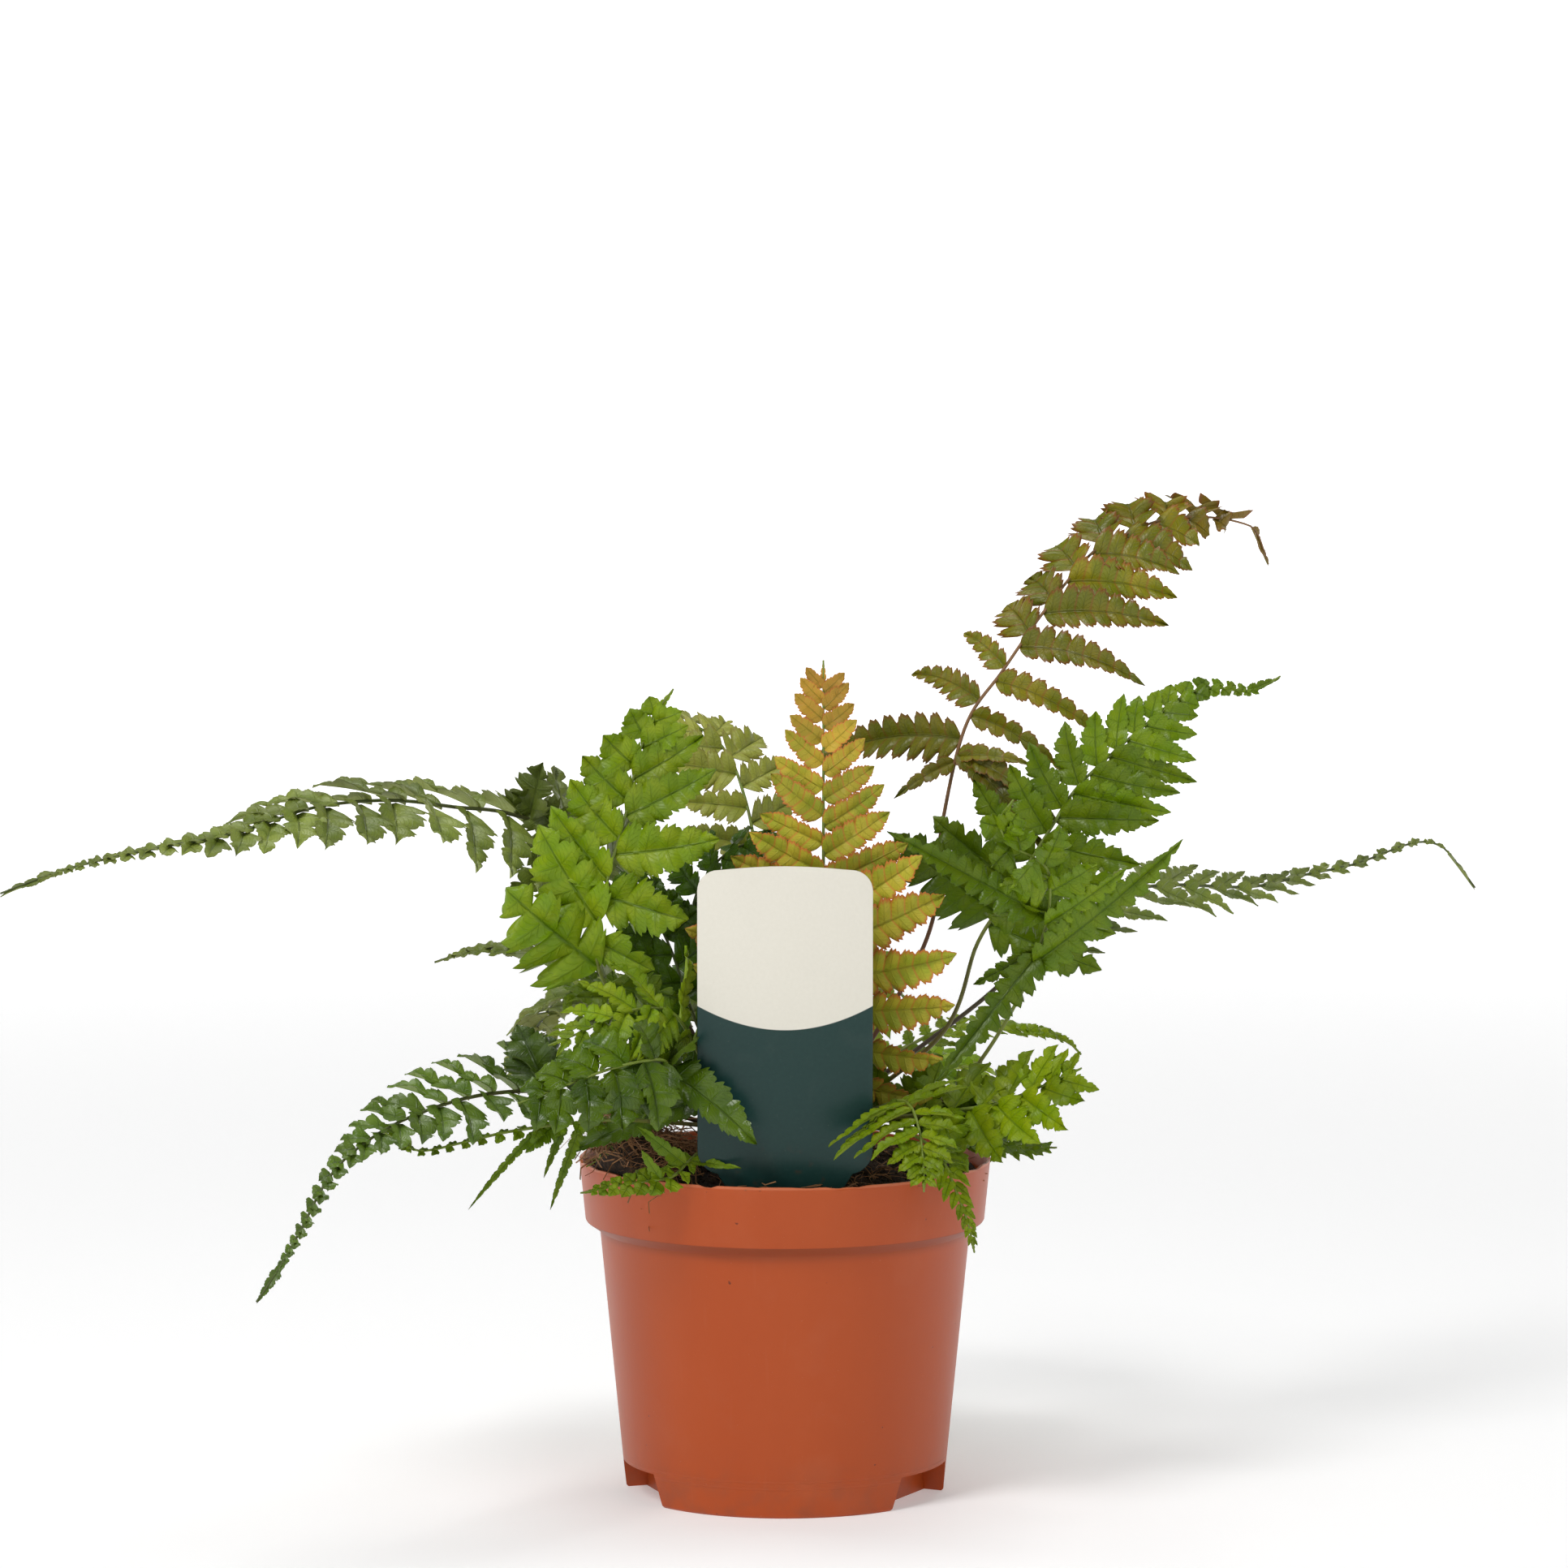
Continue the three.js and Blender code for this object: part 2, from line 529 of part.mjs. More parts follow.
    lobe: 9, cut: 0.4,
  },
  {
    name: 'frond_over_rim_right', tone: 'dark', bare: 0.6, pairs: 5, small: 3,
    path: [[13, -12, 90], [16, -15, 107], [34, -33, 110], [44, -45, 105], [49, -51, 95], [52, -52, 87],
      [54, -51, 78]],
    face: [[0, -0.6, 0.8], [0.2, -0.95, 0.3]], spread: [60, 50], lift: [0, 0],
    leaf: [9, 9, 8, 5], width: [0.3, 0.3], droop: 0.05, lobe: 7, cut: 0.4,
  },
  {
    name: 'frond_low_right', tone: 'bright', bare: 0.52, pairs: 5, small: 2,
    path: [[16, -6, 90], [20, -8, 107], [45, -20, 114], [59, -27, 117], [71, -32, 122], [85, -36, 129]],
    face: [[0, -0.8, 0.6], [0, -0.8, 0.6]], spread: [62, 50], lift: [0, 0],
    leaf: [16, 16, 13, 7], leafLeft: [13, 14, 11, 6], width: [0.32, 0.3], droop: 0.02, lobe: 8, cut: 0.4,
  },
  {
    name: 'frond_dark_right', tone: 'dark', bare: 0.6, pairs: 6, small: 3,
    path: [[16, 0, 90], [20, -1, 107], [46, -9, 116], [58, -13, 130], [70, -18, 152], [75, -24, 169],
      [76, -30, 179], [75, -35, 186], [71, -39, 190], [64, -42, 194], [61, -43, 201], [65, -43, 207]],
    face: [[0, -1, 0.2], [0, -1, 0.2]], spread: [30, 60, 60], spreadLeft: [150, 105, 80, 70], lift: [-4, 4],
    leaf: [50, 26, 14, 12, 9, 6], leafLeft: [38, 24, 13, 11, 8, 5], width: [0.13, 0.26, 0.3],
    droop: 0, lobe: 9, cut: 0.4,
  },
  {
    name: 'frond_big_upper_right', tone: 'bright', bare: 0.46, pairs: 12, small: 6,
    path: [[10, 5, 90], [15, 5, 107], [46, 3, 134], [56, 4, 160], [65, 5, 174], [77, 6, 193], [84, 8, 204],
      [93, 10, 213], [107, 12, 225], [117, 14, 232], [125, 16, 234], [137, 18, 233], [145, 20, 237]],
    face: [[0, -1, 0.15], [0, -0.9, 0.5]], spread: [76, 62, 54, 50], lift: [6, 6],
    leaf: [34, 28, 27, 26, 24, 18, 10, 4, 3], leafLeft: [45, 30, 20, 17, 14, 11, 7, 4, 3],
    width: [0.2, 0.2, 0.28], droop: 0.06, lobe: 9, cut: 0.3,
  },
  {
    name: 'frond_long_right', tone: 'olive', bare: 0.36, pairs: 15, small: 10,
    path: [[8, 11, 90], [13, 13, 107], [58, 24, 141], [78, 37, 158], [88, 47, 164], [103, 63, 169],
      [118, 78, 169], [142, 100, 166], [160, 116, 168], [176, 128, 170], [194, 140, 175], [203, 145, 174],
      [209, 149, 168], [215, 151, 160]],
    face: [[0, -0.5, 0.86], [0, -0.4, 0.9]], spread: [64, 54, 42, 34], lift: [-4, -4],
    liftLeft: [32, 24], leaf: [18, 15, 12, 10, 8, 6, 5, 4], leafLeft: [21, 21, 19, 16, 13, 10, 7, 4],
    width: [0.25, 0.24, 0.28], droop: 0.06, lobe: 9,
  },
  {
    name: 'frond_thin_back_right', tone: 'lime', bare: 0.45, pairs: 7, small: 4,
    path: [[3, 13, 90], [6, 15, 107], [38, 32, 127], [54, 44, 131], [73, 58, 128], [84, 64, 124],
      [89, 67, 119]],
    face: [[0, -0.5, 0.86], [0, -0.5, 0.86]], spread: [62, 50], lift: [0, 0],
    leaf: [12, 11, 9, 6, 4], width: [0.2, 0.26], droop: 0.1, lobe: 8,
  },
  {
    name: 'frond_olive_back_left', tone: 'olive', bare: 0.5, pairs: 8, small: 4,
    path: [[-3, 11, 90], [-4, 14, 107], [-8, 36, 176], [-13, 48, 202], [-20, 60, 214], [-31, 72, 219],
      [-42, 84, 216], [-51, 95, 208]],
    face: [[0.2, -0.4, 0.9], [0, -0.2, 0.95]], spread: [70, 56], lift: [-6, -6],
    leaf: [22, 22, 18, 13, 8, 4], width: [0.22, 0.26], droop: 0.15, lobe: 9,
  },
  {
    name: 'frond_dark_over_label', tone: 'dark', bare: 0.64, pairs: 6, small: 3,
    path: [[-5, -3, 90], [-9, -4, 107], [-26, -1, 148], [-27, 1, 170], [-21, 1, 183], [-11, -1, 190],
      [6, -6, 193]],
    face: [[0.3, -0.4, 0.9], [0, -0.4, 0.9]], spread: [64, 50], lift: [-4, -4],
    leaf: [15, 14, 12, 9, 5], width: [0.28, 0.28], droop: 0.1, lobe: 8, cut: 0.4,
  },
  {
    name: 'frond_dark_left_of_label', tone: 'dark', bare: 0.42, pairs: 7, small: 3,
    path: [[-10, -1, 90], [-13, -3, 107], [-27, -10, 142], [-32, -8, 157], [-37, -6, 168], [-43, -2, 178],
      [-49, 2, 183]],
    face: [[0, -0.95, 0.3], [0, -0.8, 0.6]], spread: [80, 60], lift: [0, 0],
    leaf: [20, 22, 20, 15, 9, 5], width: [0.28, 0.28], droop: 0.15, lobe: 9, cut: 0.4,
  },
  {
    name: 'frond_small_back_left', tone: 'olive', bare: 0.52, pairs: 6, small: 4,
    path: [[-12, 13, 90], [-15, 16, 107], [-44, 29, 140], [-66, 33, 152], [-80, 36, 155], [-92, 39, 154],
      [-104, 42, 150]],
    face: [[0, -0.3, 0.95], [0, -0.3, 0.95]], spread: [62, 48], lift: [0, 0],
    leaf: [14, 12, 9, 6, 4], width: [0.26, 0.26], droop: 0.1, lobe: 8,
  },
  {
    name: 'frond_low_back_left', tone: 'dark', bare: 0.52, pairs: 5, small: 2,
    path: [[-17, 2, 90], [-20, 3, 107], [-40, 8, 133], [-49, 10, 142], [-57, 12, 146], [-66, 13, 143]],
    face: [[0, -0.4, 0.9], [0, -0.4, 0.9]], spread: [64, 50], lift: [0, 0],
    leaf: [13, 12, 9, 6], width: [0.28, 0.28], droop: 0.1, lobe: 8,
  },
  {
    name: 'frond_bright_pointing_left', tone: 'bright', bare: 0.52, pairs: 6, small: 3,
    path: [[-12, -14, 90], [-14, -18, 107], [-26, -38, 136], [-33, -47, 147], [-43, -53, 148], [-52, -57, 145],
      [-59, -60, 142], [-67, -62, 139]],
    face: [[0, -0.75, 0.65], [0, -0.75, 0.65]], spread: [70, 52], lift: [0, 0],
    leaf: [14, 14, 12, 8, 3], leafLeft: [13, 13, 11, 8, 3], width: [0.28, 0.28], droop: 0.1, lobe: 8, cut: 0.4,
  },
  {
    name: 'frond_short_right', tone: 'bright', bare: 0.6, pairs: 4, small: 4,
    path: [[18, 4, 90], [22, 4, 107], [48, -4, 107], [60, -8, 104], [70, -9, 102], [79, -9, 102]],
    face: [[0, -0.6, 0.8], [0, -0.6, 0.8]], spread: [58, 46], lift: [0, 0],
    leaf: [8, 7, 6, 4], width: [0.28, 0.28], droop: 0, lobe: 7,
  },
  {
    name: 'frond_back_low_left', tone: 'dark', bare: 0.36, pairs: 8, small: 5,
    path: [[-6, 16, 90], [-8, 20, 107], [-24, 66, 141], [-35, 97, 136], [-46, 128, 113], [-53, 150, 86],
      [-55, 158, 74]],
    face: [[0, -0.2, 0.98], [-0.3, 0.8, 0.5]], spread: [72, 54], lift: [-6, -6],
    leaf: [24, 26, 22, 16, 11, 7, 4], width: [0.24, 0.26], droop: 0.15, lobe: 9,
  },
  {
    name: 'frond_back_middle', tone: 'bright', bare: 0.36, pairs: 8, small: 5,
    path: [[0, 17, 90], [1, 20, 107], [10, 66, 148], [16, 97, 146], [23, 127, 124], [27, 146, 100],
      [28, 153, 88]],
    face: [[0, -0.2, 0.98], [0.1, 0.8, 0.5]], spread: [72, 54], lift: [-6, -6],
    leaf: [24, 26, 22, 16, 11, 7, 4], width: [0.24, 0.26], droop: 0.15, lobe: 9,
  },
  {
    name: 'frond_back_left', tone: 'olive', bare: 0.37, pairs: 8, small: 4,
    path: [[-15, 8, 90], [-20, 10, 107], [-48, 50, 140], [-66, 78, 136], [-78, 98, 119], [-84, 110, 104]],
    face: [[0, -0.2, 0.98], [-0.5, 0.5, 0.6]], spread: [72, 54], lift: [-6, -6],
    leaf: [22, 23, 20, 15, 10, 6], width: [0.24, 0.26], droop: 0.15, lobe: 9,
  },
  {
    name: 'frond_back_right', tone: 'bright', bare: 0.41, pairs: 8, small: 5,
    path: [[12, 13, 90], [14, 16, 107], [39, 60, 119], [52, 89, 114], [64, 116, 98], [70, 132, 82]],
    face: [[0, -0.2, 0.98], [0.5, 0.6, 0.6]], spread: [72, 54], lift: [-6, -6],
    leaf: [19, 20, 17, 13, 9, 5], width: [0.24, 0.26], droop: 0.15, lobe: 9,
  },
]

const scene = new THREE.Group()

function addPart(name, body, material) {
  const mesh = new THREE.Mesh(geometryOf(body), material)
  mesh.name = name
  scene.add(mesh)
}

const potMaterial = new THREE.MeshStandardMaterial({ color: 0xaf5637, roughness: 0.45, metalness: 0 })
const soilMaterial = new THREE.MeshStandardMaterial({ color: 0x33241a, roughness: 0.95, metalness: 0 })
const crownMaterial = new THREE.MeshStandardMaterial({ color: 0x4a3420, roughness: 0.9, metalness: 0 })
const labelMaterial = new THREE.MeshStandardMaterial({ color: 0x1f4b4f, roughness: 0.35, metalness: 0 })

// A plain hole for each stalk's foot, as long as its first straight stretch
const holeRadius = STALK_RADIUS + HOLE_CLEARANCE
const stalkHoles = FRONDS.map((frond) => {
  const [foot, next] = frondRings(frond)
  const end = { ...foot, centre: foot.centre.clone().addScaledVector(foot.forward, -GAP) }
  return rodThrough([end, next], holeRadius, holeRadius)
})
const allHoles = wasm.Manifold.union(stalkHoles)

addPart('pot', buildPot(), potMaterial)
const rootBall = buildRootBall().subtract(solid(crownGeometry(GAP))).subtract(solid(labelGeometry(GAP)))
addPart('root_ball', rootBall, soilMaterial)
addPart('crown', solid(crownGeometry(0)).subtract(allHoles), crownMaterial)
addPart('label', solid(labelGeometry(0)), labelMaterial)

for (const frond of FRONDS) {
  const material = new THREE.MeshStandardMaterial({ color: TONES[frond.tone], roughness: 0.5, metalness: 0 })
  addPart(frond.name, frondSolid(frond), material)
}

export default scene
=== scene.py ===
"""Looks for a potted autumn fern: its pot, growing medium, crown, label and fronds.

Metres, +Z up. The origin is on the ground at the pot's middle, and the label faces -Y.
"""
import json
import math
import random

import bmesh
import bpy
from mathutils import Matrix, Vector, noise

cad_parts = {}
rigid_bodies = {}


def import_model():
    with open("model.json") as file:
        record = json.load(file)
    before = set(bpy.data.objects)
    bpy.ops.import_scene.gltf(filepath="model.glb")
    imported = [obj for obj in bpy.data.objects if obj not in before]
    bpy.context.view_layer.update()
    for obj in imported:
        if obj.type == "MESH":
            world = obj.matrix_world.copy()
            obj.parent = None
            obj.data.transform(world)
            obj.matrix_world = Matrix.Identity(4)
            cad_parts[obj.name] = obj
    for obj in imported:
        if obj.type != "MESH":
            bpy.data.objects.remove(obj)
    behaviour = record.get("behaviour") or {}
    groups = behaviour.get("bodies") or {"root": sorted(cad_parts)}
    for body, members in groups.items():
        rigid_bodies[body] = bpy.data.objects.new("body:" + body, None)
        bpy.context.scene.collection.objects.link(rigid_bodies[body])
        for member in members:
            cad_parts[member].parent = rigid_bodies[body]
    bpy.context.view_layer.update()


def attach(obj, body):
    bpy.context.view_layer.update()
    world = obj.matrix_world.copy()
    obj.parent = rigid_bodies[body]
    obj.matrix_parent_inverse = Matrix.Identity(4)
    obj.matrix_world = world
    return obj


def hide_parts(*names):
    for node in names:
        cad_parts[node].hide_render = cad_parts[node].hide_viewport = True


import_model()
MM = 0.001


# The pot is a 12 cm grower's pot, injection moulded in terracotta-coloured plastic: one thin turned wall with
# a rim band, a foot ring notched in three places and a drained floor. It shows mould lines, specks and a
# nicked rim. Sizes are in mm here and in every section.
POT_HEIGHT = 98
POT_WALL = 1.2
BASE_RADIUS = 46.5
RIM_RADIUS = 60
FOOT_WIDTH = 9.5
FLOOR_TOP = 6
POT_SEGMENTS = 192
NOTCH_ANGLES = [-71, 63, 176]
NOTCH_HEIGHT = 9.5
NOTCH_LOW_HALF = 17.6
NOTCH_HIGH_HALF = 14.4
DRAIN_HOLES = 5
DRAIN_RADIUS = 3.5
DRAIN_CIRCLE = 24
OUT_OF_ROUND = 0.15
NICK_DEPTH = 1.3
NICKED_FROM = POT_HEIGHT - 1
CUTTER_MARGIN = 6


def paint(red, green, blue):
    """A colour of 0 to 255 as the shader wants it."""
    parts = [value / 255 for value in (red, green, blue)]
    linear = [p / 12.92 if p <= 0.04045 else ((p + 0.055) / 1.055) ** 2.4 for p in parts]
    return (*linear, 1)


class Field:
    """A number or a direction in a node tree, so that a formula reads as one."""

    def __init__(self, tree, socket):
        self.tree = tree
        self.socket = socket

    def math(self, operation, *others, clamp=False):
        node = self.tree.nodes.new("ShaderNodeMath")
        node.operation = operation
        node.use_clamp = clamp
        for value, socket in zip((self, *others), node.inputs):
            feed(value, socket)
        return Field(self.tree, node.outputs[0])

    def vector(self, operation, other):
        node = self.tree.nodes.new("ShaderNodeVectorMath")
        node.operation = operation
        feed(self, node.inputs[0])
        feed(other, node.inputs["Scale" if operation == "SCALE" else 1])
        return Field(self.tree, node.outputs[0])

    def __add__(self, other):
        return self.math("ADD", other)

    def __sub__(self, other):
        return self.math("SUBTRACT", other)

    def __mul__(self, other):
        return self.math("MULTIPLY", other)

    def __truediv__(self, other):
        return self.math("DIVIDE", other)

    def __pow__(self, other):
        return self.math("POWER", other)

    def size(self):
        return self.math("ABSOLUTE")

    def part_of_one(self):
        return self.math("FRACT")

    def from_one(self):
        return (self * -1) + 1

    def split(self):
        node = self.tree.nodes.new("ShaderNodeSeparateXYZ")
        feed(self, node.inputs[0])
        return [Field(self.tree, socket) for socket in node.outputs]

    def ramp(self, low, high):
        """0 up to low, 1 from high on, and smooth between them."""
        node = self.tree.nodes.new("ShaderNodeMapRange")
        node.interpolation_type = "SMOOTHSTEP"
        feed(self, node.inputs["Value"])
        node.inputs["From Min"].default_value = low
        node.inputs["From Max"].default_value = high
        return Field(self.tree, node.outputs["Result"])

    def mottled(self, scale, detail=3, stretch=(1, 1, 1)):
        """Cloudy noise from 0 to 1 at this place, at a scale per metre."""
        node = self.tree.nodes.new("ShaderNodeTexNoise")
        feed(self.vector("MULTIPLY", stretch), node.inputs["Vector"])
        node.inputs["Scale"].default_value = scale
        node.inputs["Detail"].default_value = detail
        return Field(self.tree, node.outputs["Fac"])


def feed(value, socket):
    """Joins a field to a socket, or sets the socket to a plain value."""
    if isinstance(value, Field):
        value.tree.links.new(value.socket, socket)
    else:
        socket.default_value = value


def joined(*values):
    """A direction from its three parts."""
    tree = next(value.tree for value in values if isinstance(value, Field))
    node = tree.nodes.new("ShaderNodeCombineXYZ")
    for value, socket in zip(values, node.inputs):
        feed(value, socket)
    return Field(tree, node.outputs[0])


def mixed(amount, first, second):
    """A colour between two, by an amount from 0 to 1."""
    node = amount.tree.nodes.new("ShaderNodeMix")
    node.data_type = "RGBA"
    feed(amount, node.inputs["Factor"])
    feed(first, node.inputs[6])
    feed(second, node.inputs[7])
    return Field(amount.tree, node.outputs[2])


def new_material(name, roughness):
    """A material with its surface shader and the place on the object as a field."""
    material = bpy.data.materials.new(name)
    material.use_nodes = True
    tree = material.node_tree
    surface = tree.nodes["Principled BSDF"]
    surface.inputs["Roughness"].default_value = roughness
    return material, surface, Field(tree, tree.nodes.new("ShaderNodeTexCoord").outputs["Object"])


def new_group(name, inputs, outputs):
    """A shader node group with named sockets: its tree, its input fields by name and its output node."""
    tree = bpy.data.node_groups.new(name, "ShaderNodeTree")
    for side, sockets in (("INPUT", inputs), ("OUTPUT", outputs)):
        for label, kind in sockets:
            tree.interface.new_socket(name=label, in_out=side, socket_type=kind)
    source = tree.nodes.new("NodeGroupInput")
    fields = {label: Field(tree, source.outputs[label]) for label, kind in inputs}
    return tree, fields, tree.nodes.new("NodeGroupOutput")


def use_group(group, place, **values):
    """Sets a shared effect in a material and gives its outputs as fields by name."""
    node = place.tree.nodes.new("ShaderNodeGroup")
    node.node_tree = group
    feed(place, node.inputs["Place"])
    for label, value in values.items():
        feed(value, node.inputs[label.replace("_", " ")])
    return {socket.name: Field(place.tree, socket) for socket in node.outputs}


def bumped(height, strength, distance):
    """The surface's direction over a relief."""
    node = height.tree.nodes.new("ShaderNodeBump")
    node.inputs["Strength"].default_value = strength
    node.inputs["Distance"].default_value = distance
    feed(height, node.inputs["Height"])
    return Field(height.tree, node.outputs["Normal"])


# Dust and small scuffs lie on the pot and on the label alike
scuffs, scuff_in, scuff_out = new_group(
    "scuffs_and_dust",
    [("Place", "NodeSocketVector"), ("Scale", "NodeSocketFloat"), ("Amount", "NodeSocketFloat")],
    [("Mask", "NodeSocketFloat"), ("Height", "NodeSocketFloat")],
)
scaled_place = scuff_in["Place"].vector("SCALE", scuff_in["Scale"])
specks = scaled_place.mottled(900, 2).ramp(0.72, 0.78)
clouds = scaled_place.mottled(60, 4).ramp(0.52, 0.75)
scratches = scaled_place.mottled(500, 1, (1, 1, 0.06)).ramp(0.7, 0.8)
dirt = specks.math("MAXIMUM", scratches * 0.12) + clouds * 0.25
feed(dirt * scuff_in["Amount"], scuff_out.inputs["Mask"])
feed(specks * 0.6 - scratches * 0.15, scuff_out.inputs["Height"])


def turned(profile, segments, wave=None):
    """A closed shape turned about the Z axis, from [radius, height] pairs that start and end on the axis."""
    shape = bmesh.new()
    rings = []
    for radius, height in profile:
        if radius == 0:
            rings.append([shape.verts.new((0, 0, height * MM))])
            continue
        ring = []
        for i in range(segments):
            angle = math.tau * i / segments
            r, z = wave(radius, height, angle) if wave else (radius, height)
            ring.append(shape.verts.new((r * math.cos(angle) * MM, r * math.sin(angle) * MM, z * MM)))
        rings.append(ring)
    for low, high in zip(rings, rings[1:]):
        for i in range(segments):
            j = (i + 1) % segments
            corners = [low[i % len(low)], low[j % len(low)], high[j % len(high)], high[i % len(high)]]
            unique = list(dict.fromkeys(corners))
            if len(unique) > 2:
                shape.faces.new(unique)
    bmesh.ops.recalc_face_normals(shape, faces=shape.faces)
    return shape


def smoothed(mesh, sharp_past):
    """Smooth faces, and sharp edges past an angle in degrees."""
    mesh.shade_smooth()
    mesh.set_sharp_from_angle(angle=math.radians(sharp_past))


def new_piece(name, shape, materials=()):
    """Makes an object of a bmesh."""
    mesh = bpy.data.meshes.new(name)
    shape.to_mesh(mesh)
    shape.free()
    piece = bpy.data.objects.new(name, mesh)
    bpy.context.scene.collection.objects.link(piece)
    for material in materials:
        mesh.materials.append(material)
    smoothed(mesh, 40)
    return piece


def settled(piece):
    """Turns a piece's modifiers into its plain mesh."""
    result = piece.evaluated_get(bpy.context.evaluated_depsgraph_get())
    mesh = bpy.data.meshes.new_from_object(result)
    piece.modifiers.clear()
    piece.data = mesh
    mesh.name = piece.name
    return piece


def pot_wave(radius, height, angle):
    """The rim is a little nicked and the thin wall isn't quite round."""
    spot = Vector((math.cos(angle) * 9, math.sin(angle) * 9, height * 0.02))
    out_of_round = OUT_OF_ROUND * noise.noise(spot * 0.2)
    nicks = max(0, noise.noise(spot * 1.1) - 0.05) * NICK_DEPTH if height > NICKED_FROM else 0
    return radius + out_of_round, height - nicks


def notch_block(angle, margin):
    """The space between two feet, grown by a margin."""
    shape = bmesh.new()
    depth = FOOT_WIDTH + margin + CUTTER_MARGIN
    front = BASE_RADIUS - FOOT_WIDTH - margin
    low = NOTCH_LOW_HALF + margin
    high = NOTCH_HIGH_HALF + margin
    outline = [(-low, -2), (low, -2), (high, NOTCH_HEIGHT + margin), (-high, NOTCH_HEIGHT + margin)]
    near = [shape.verts.new((x * MM, -front * MM, z * MM)) for x, z in outline]
    far = [shape.verts.new((x * MM, -(front + depth) * MM, z * MM)) for x, z in outline]
    shape.faces.new(near)
    shape.faces.new(far)
    for i in range(4):
        j = (i + 1) % 4
        shape.faces.new([near[i], near[j], far[j], far[i]])
    bmesh.ops.recalc_face_normals(shape, faces=shape.faces)
    angle = math.radians(angle)
    for vert in shape.verts:
        x, y = vert.co.x, vert.co.y
        vert.co.x = x * math.cos(angle) - y * math.sin(angle)
        vert.co.y = x * math.sin(angle) + y * math.cos(angle)
    return shape


def combined(piece, other, operation):
    """Cuts or joins two pieces and drops the second."""
    step = piece.modifiers.new(operation, "BOOLEAN")
    step.operation = operation
    step.solver = "EXACT"
    step.object = other
    settled(piece)
    bpy.data.objects.remove(other)
    return piece


pot_outside = [
    [BASE_RADIUS - 0.6, 0], [BASE_RADIUS, 0.6], [48.02, 16], [53.95, 77], [54.1, 77.3], [57.95, 79.9],
    [58.2, 80.3], [59.8, 96.6], [RIM_RADIUS, 97.5], [59.85, POT_HEIGHT],
]
pot_inside = [
    [59.1, POT_HEIGHT], [58.85, 97.6], [57, 81.2], [56.6, 80.3], [53.1, 78], [52.8, 77], [46.84, 16],
    [45.4, 1.2], [38.2, 1.2], [38.2, FLOOR_TOP], [0, FLOOR_TOP],
]
pot_underside = [
    [0, FLOOR_TOP - POT_WALL], [36.4, FLOOR_TOP - POT_WALL], [37, FLOOR_TOP - 1.8], [37, 0.4], [37.4, 0],
]
pot_profile = pot_underside + pot_outside + pot_inside
pot_piece = new_piece("terracotta_pot", turned(pot_profile, POT_SEGMENTS, pot_wave))
envelope = [[0, 0]] + pot_outside + [[0, POT_HEIGHT]]
for notch_angle in NOTCH_ANGLES:
    inner_wall = new_piece("notch_wall", notch_block(notch_angle, POT_WALL))
    combined(inner_wall, new_piece("envelope", turned(envelope, 96)), "INTERSECT")
    combined(pot_piece, inner_wall, "UNION")
    combined(pot_piece, new_piece("notch", notch_block(notch_angle, 0)), "DIFFERENCE")
for i in range(DRAIN_HOLES):
    hole_angle = math.tau * (i + 0.3) / DRAIN_HOLES
    drill = turned([[0, 0], [DRAIN_RADIUS, 0], [DRAIN_RADIUS, 12], [0, 12]], 32)
    middle = (DRAIN_CIRCLE * math.cos(hole_angle) * MM, DRAIN_CIRCLE * math.sin(hole_angle) * MM, 0)
    bmesh.ops.translate(drill, verts=drill.verts, vec=middle)
    combined(pot_piece, new_piece("drain_hole", drill), "DIFFERENCE")
smoothed(pot_piece.data, 35)

pot_material, surface, place = new_material("terracotta_plastic", 0.42)
dust = use_group(scuffs, place, Scale=1.0, Amount=1.0)
z = place.split()[2]
flow = place.mottled(45, 3, (1, 1, 0.25))
foot_dirt = z.ramp(0.022, 0.0) * place.mottled(160, 4).ramp(0.35, 0.75)
body = mixed(flow, paint(165, 66, 16), paint(175, 76, 26))
body = mixed(dust["Mask"] * 0.16, body, paint(200, 140, 112))
body = mixed(foot_dirt * 0.35, body, paint(120, 70, 50))
# Painted shade: the down-facing chamfer under the band and the wall just below it are darkened
painted_shade_under_band = z.ramp(0.0745, 0.0785) * z.ramp(0.0804, 0.0800)
body = mixed(painted_shade_under_band * 0.5, body, paint(84, 36, 18))
pits = place.mottled(460, 1).ramp(0.78, 0.82)
body = mixed(pits * 0.7, body, paint(74, 34, 20))
# Painted highlight: a lighter line along the lip at the rim's top edge
body = mixed(z.ramp(0.0970, 0.0976) * 0.5, body, paint(206, 122, 84))
feed(body, surface.inputs["Base Color"])
feed((flow * 0.12 + 0.33) + dust["Mask"] * 0.15, surface.inputs["Roughness"])
mould_line = (z - 0.0105).size().ramp(0.0004, 0.0001) + (z - 0.0085).size().ramp(0.0004, 0.0001)
relief = place.mottled(700, 2) * 0.12 + dust["Height"] * 0.2 + mould_line * 0.5 - pits
feed(bumped(relief, 0.35, 0.0004), surface.inputs["Normal"])
surface.inputs["Specular IOR Level"].default_value = 0.32
pot_piece.data.materials.clear()
pot_piece.data.materials.append(pot_material)
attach(pot_piece, "root")
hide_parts("pot")


# The growing medium is dark peat and coir pressed round the roots. It fills the pot, stands up in a small
# mound at the front left, and carries loose crumbs, coir fibres and a few green moss and grass bits.
SOIL_EDGE = 57.9
SOIL_EDGE_Z = 92.5
SOIL_MIDDLE_Z = 101
MOUND = {"x": -47, "y": -27, "radius": 17, "height": 18}
SOIL_RINGS = 44
SOIL_SEGMENTS = 150
SOIL_TOP_MARK = 120
SHOULDER = {"past_edge": 1.5, "reach": 8}
CRUMB_HEIGHT = 1.5


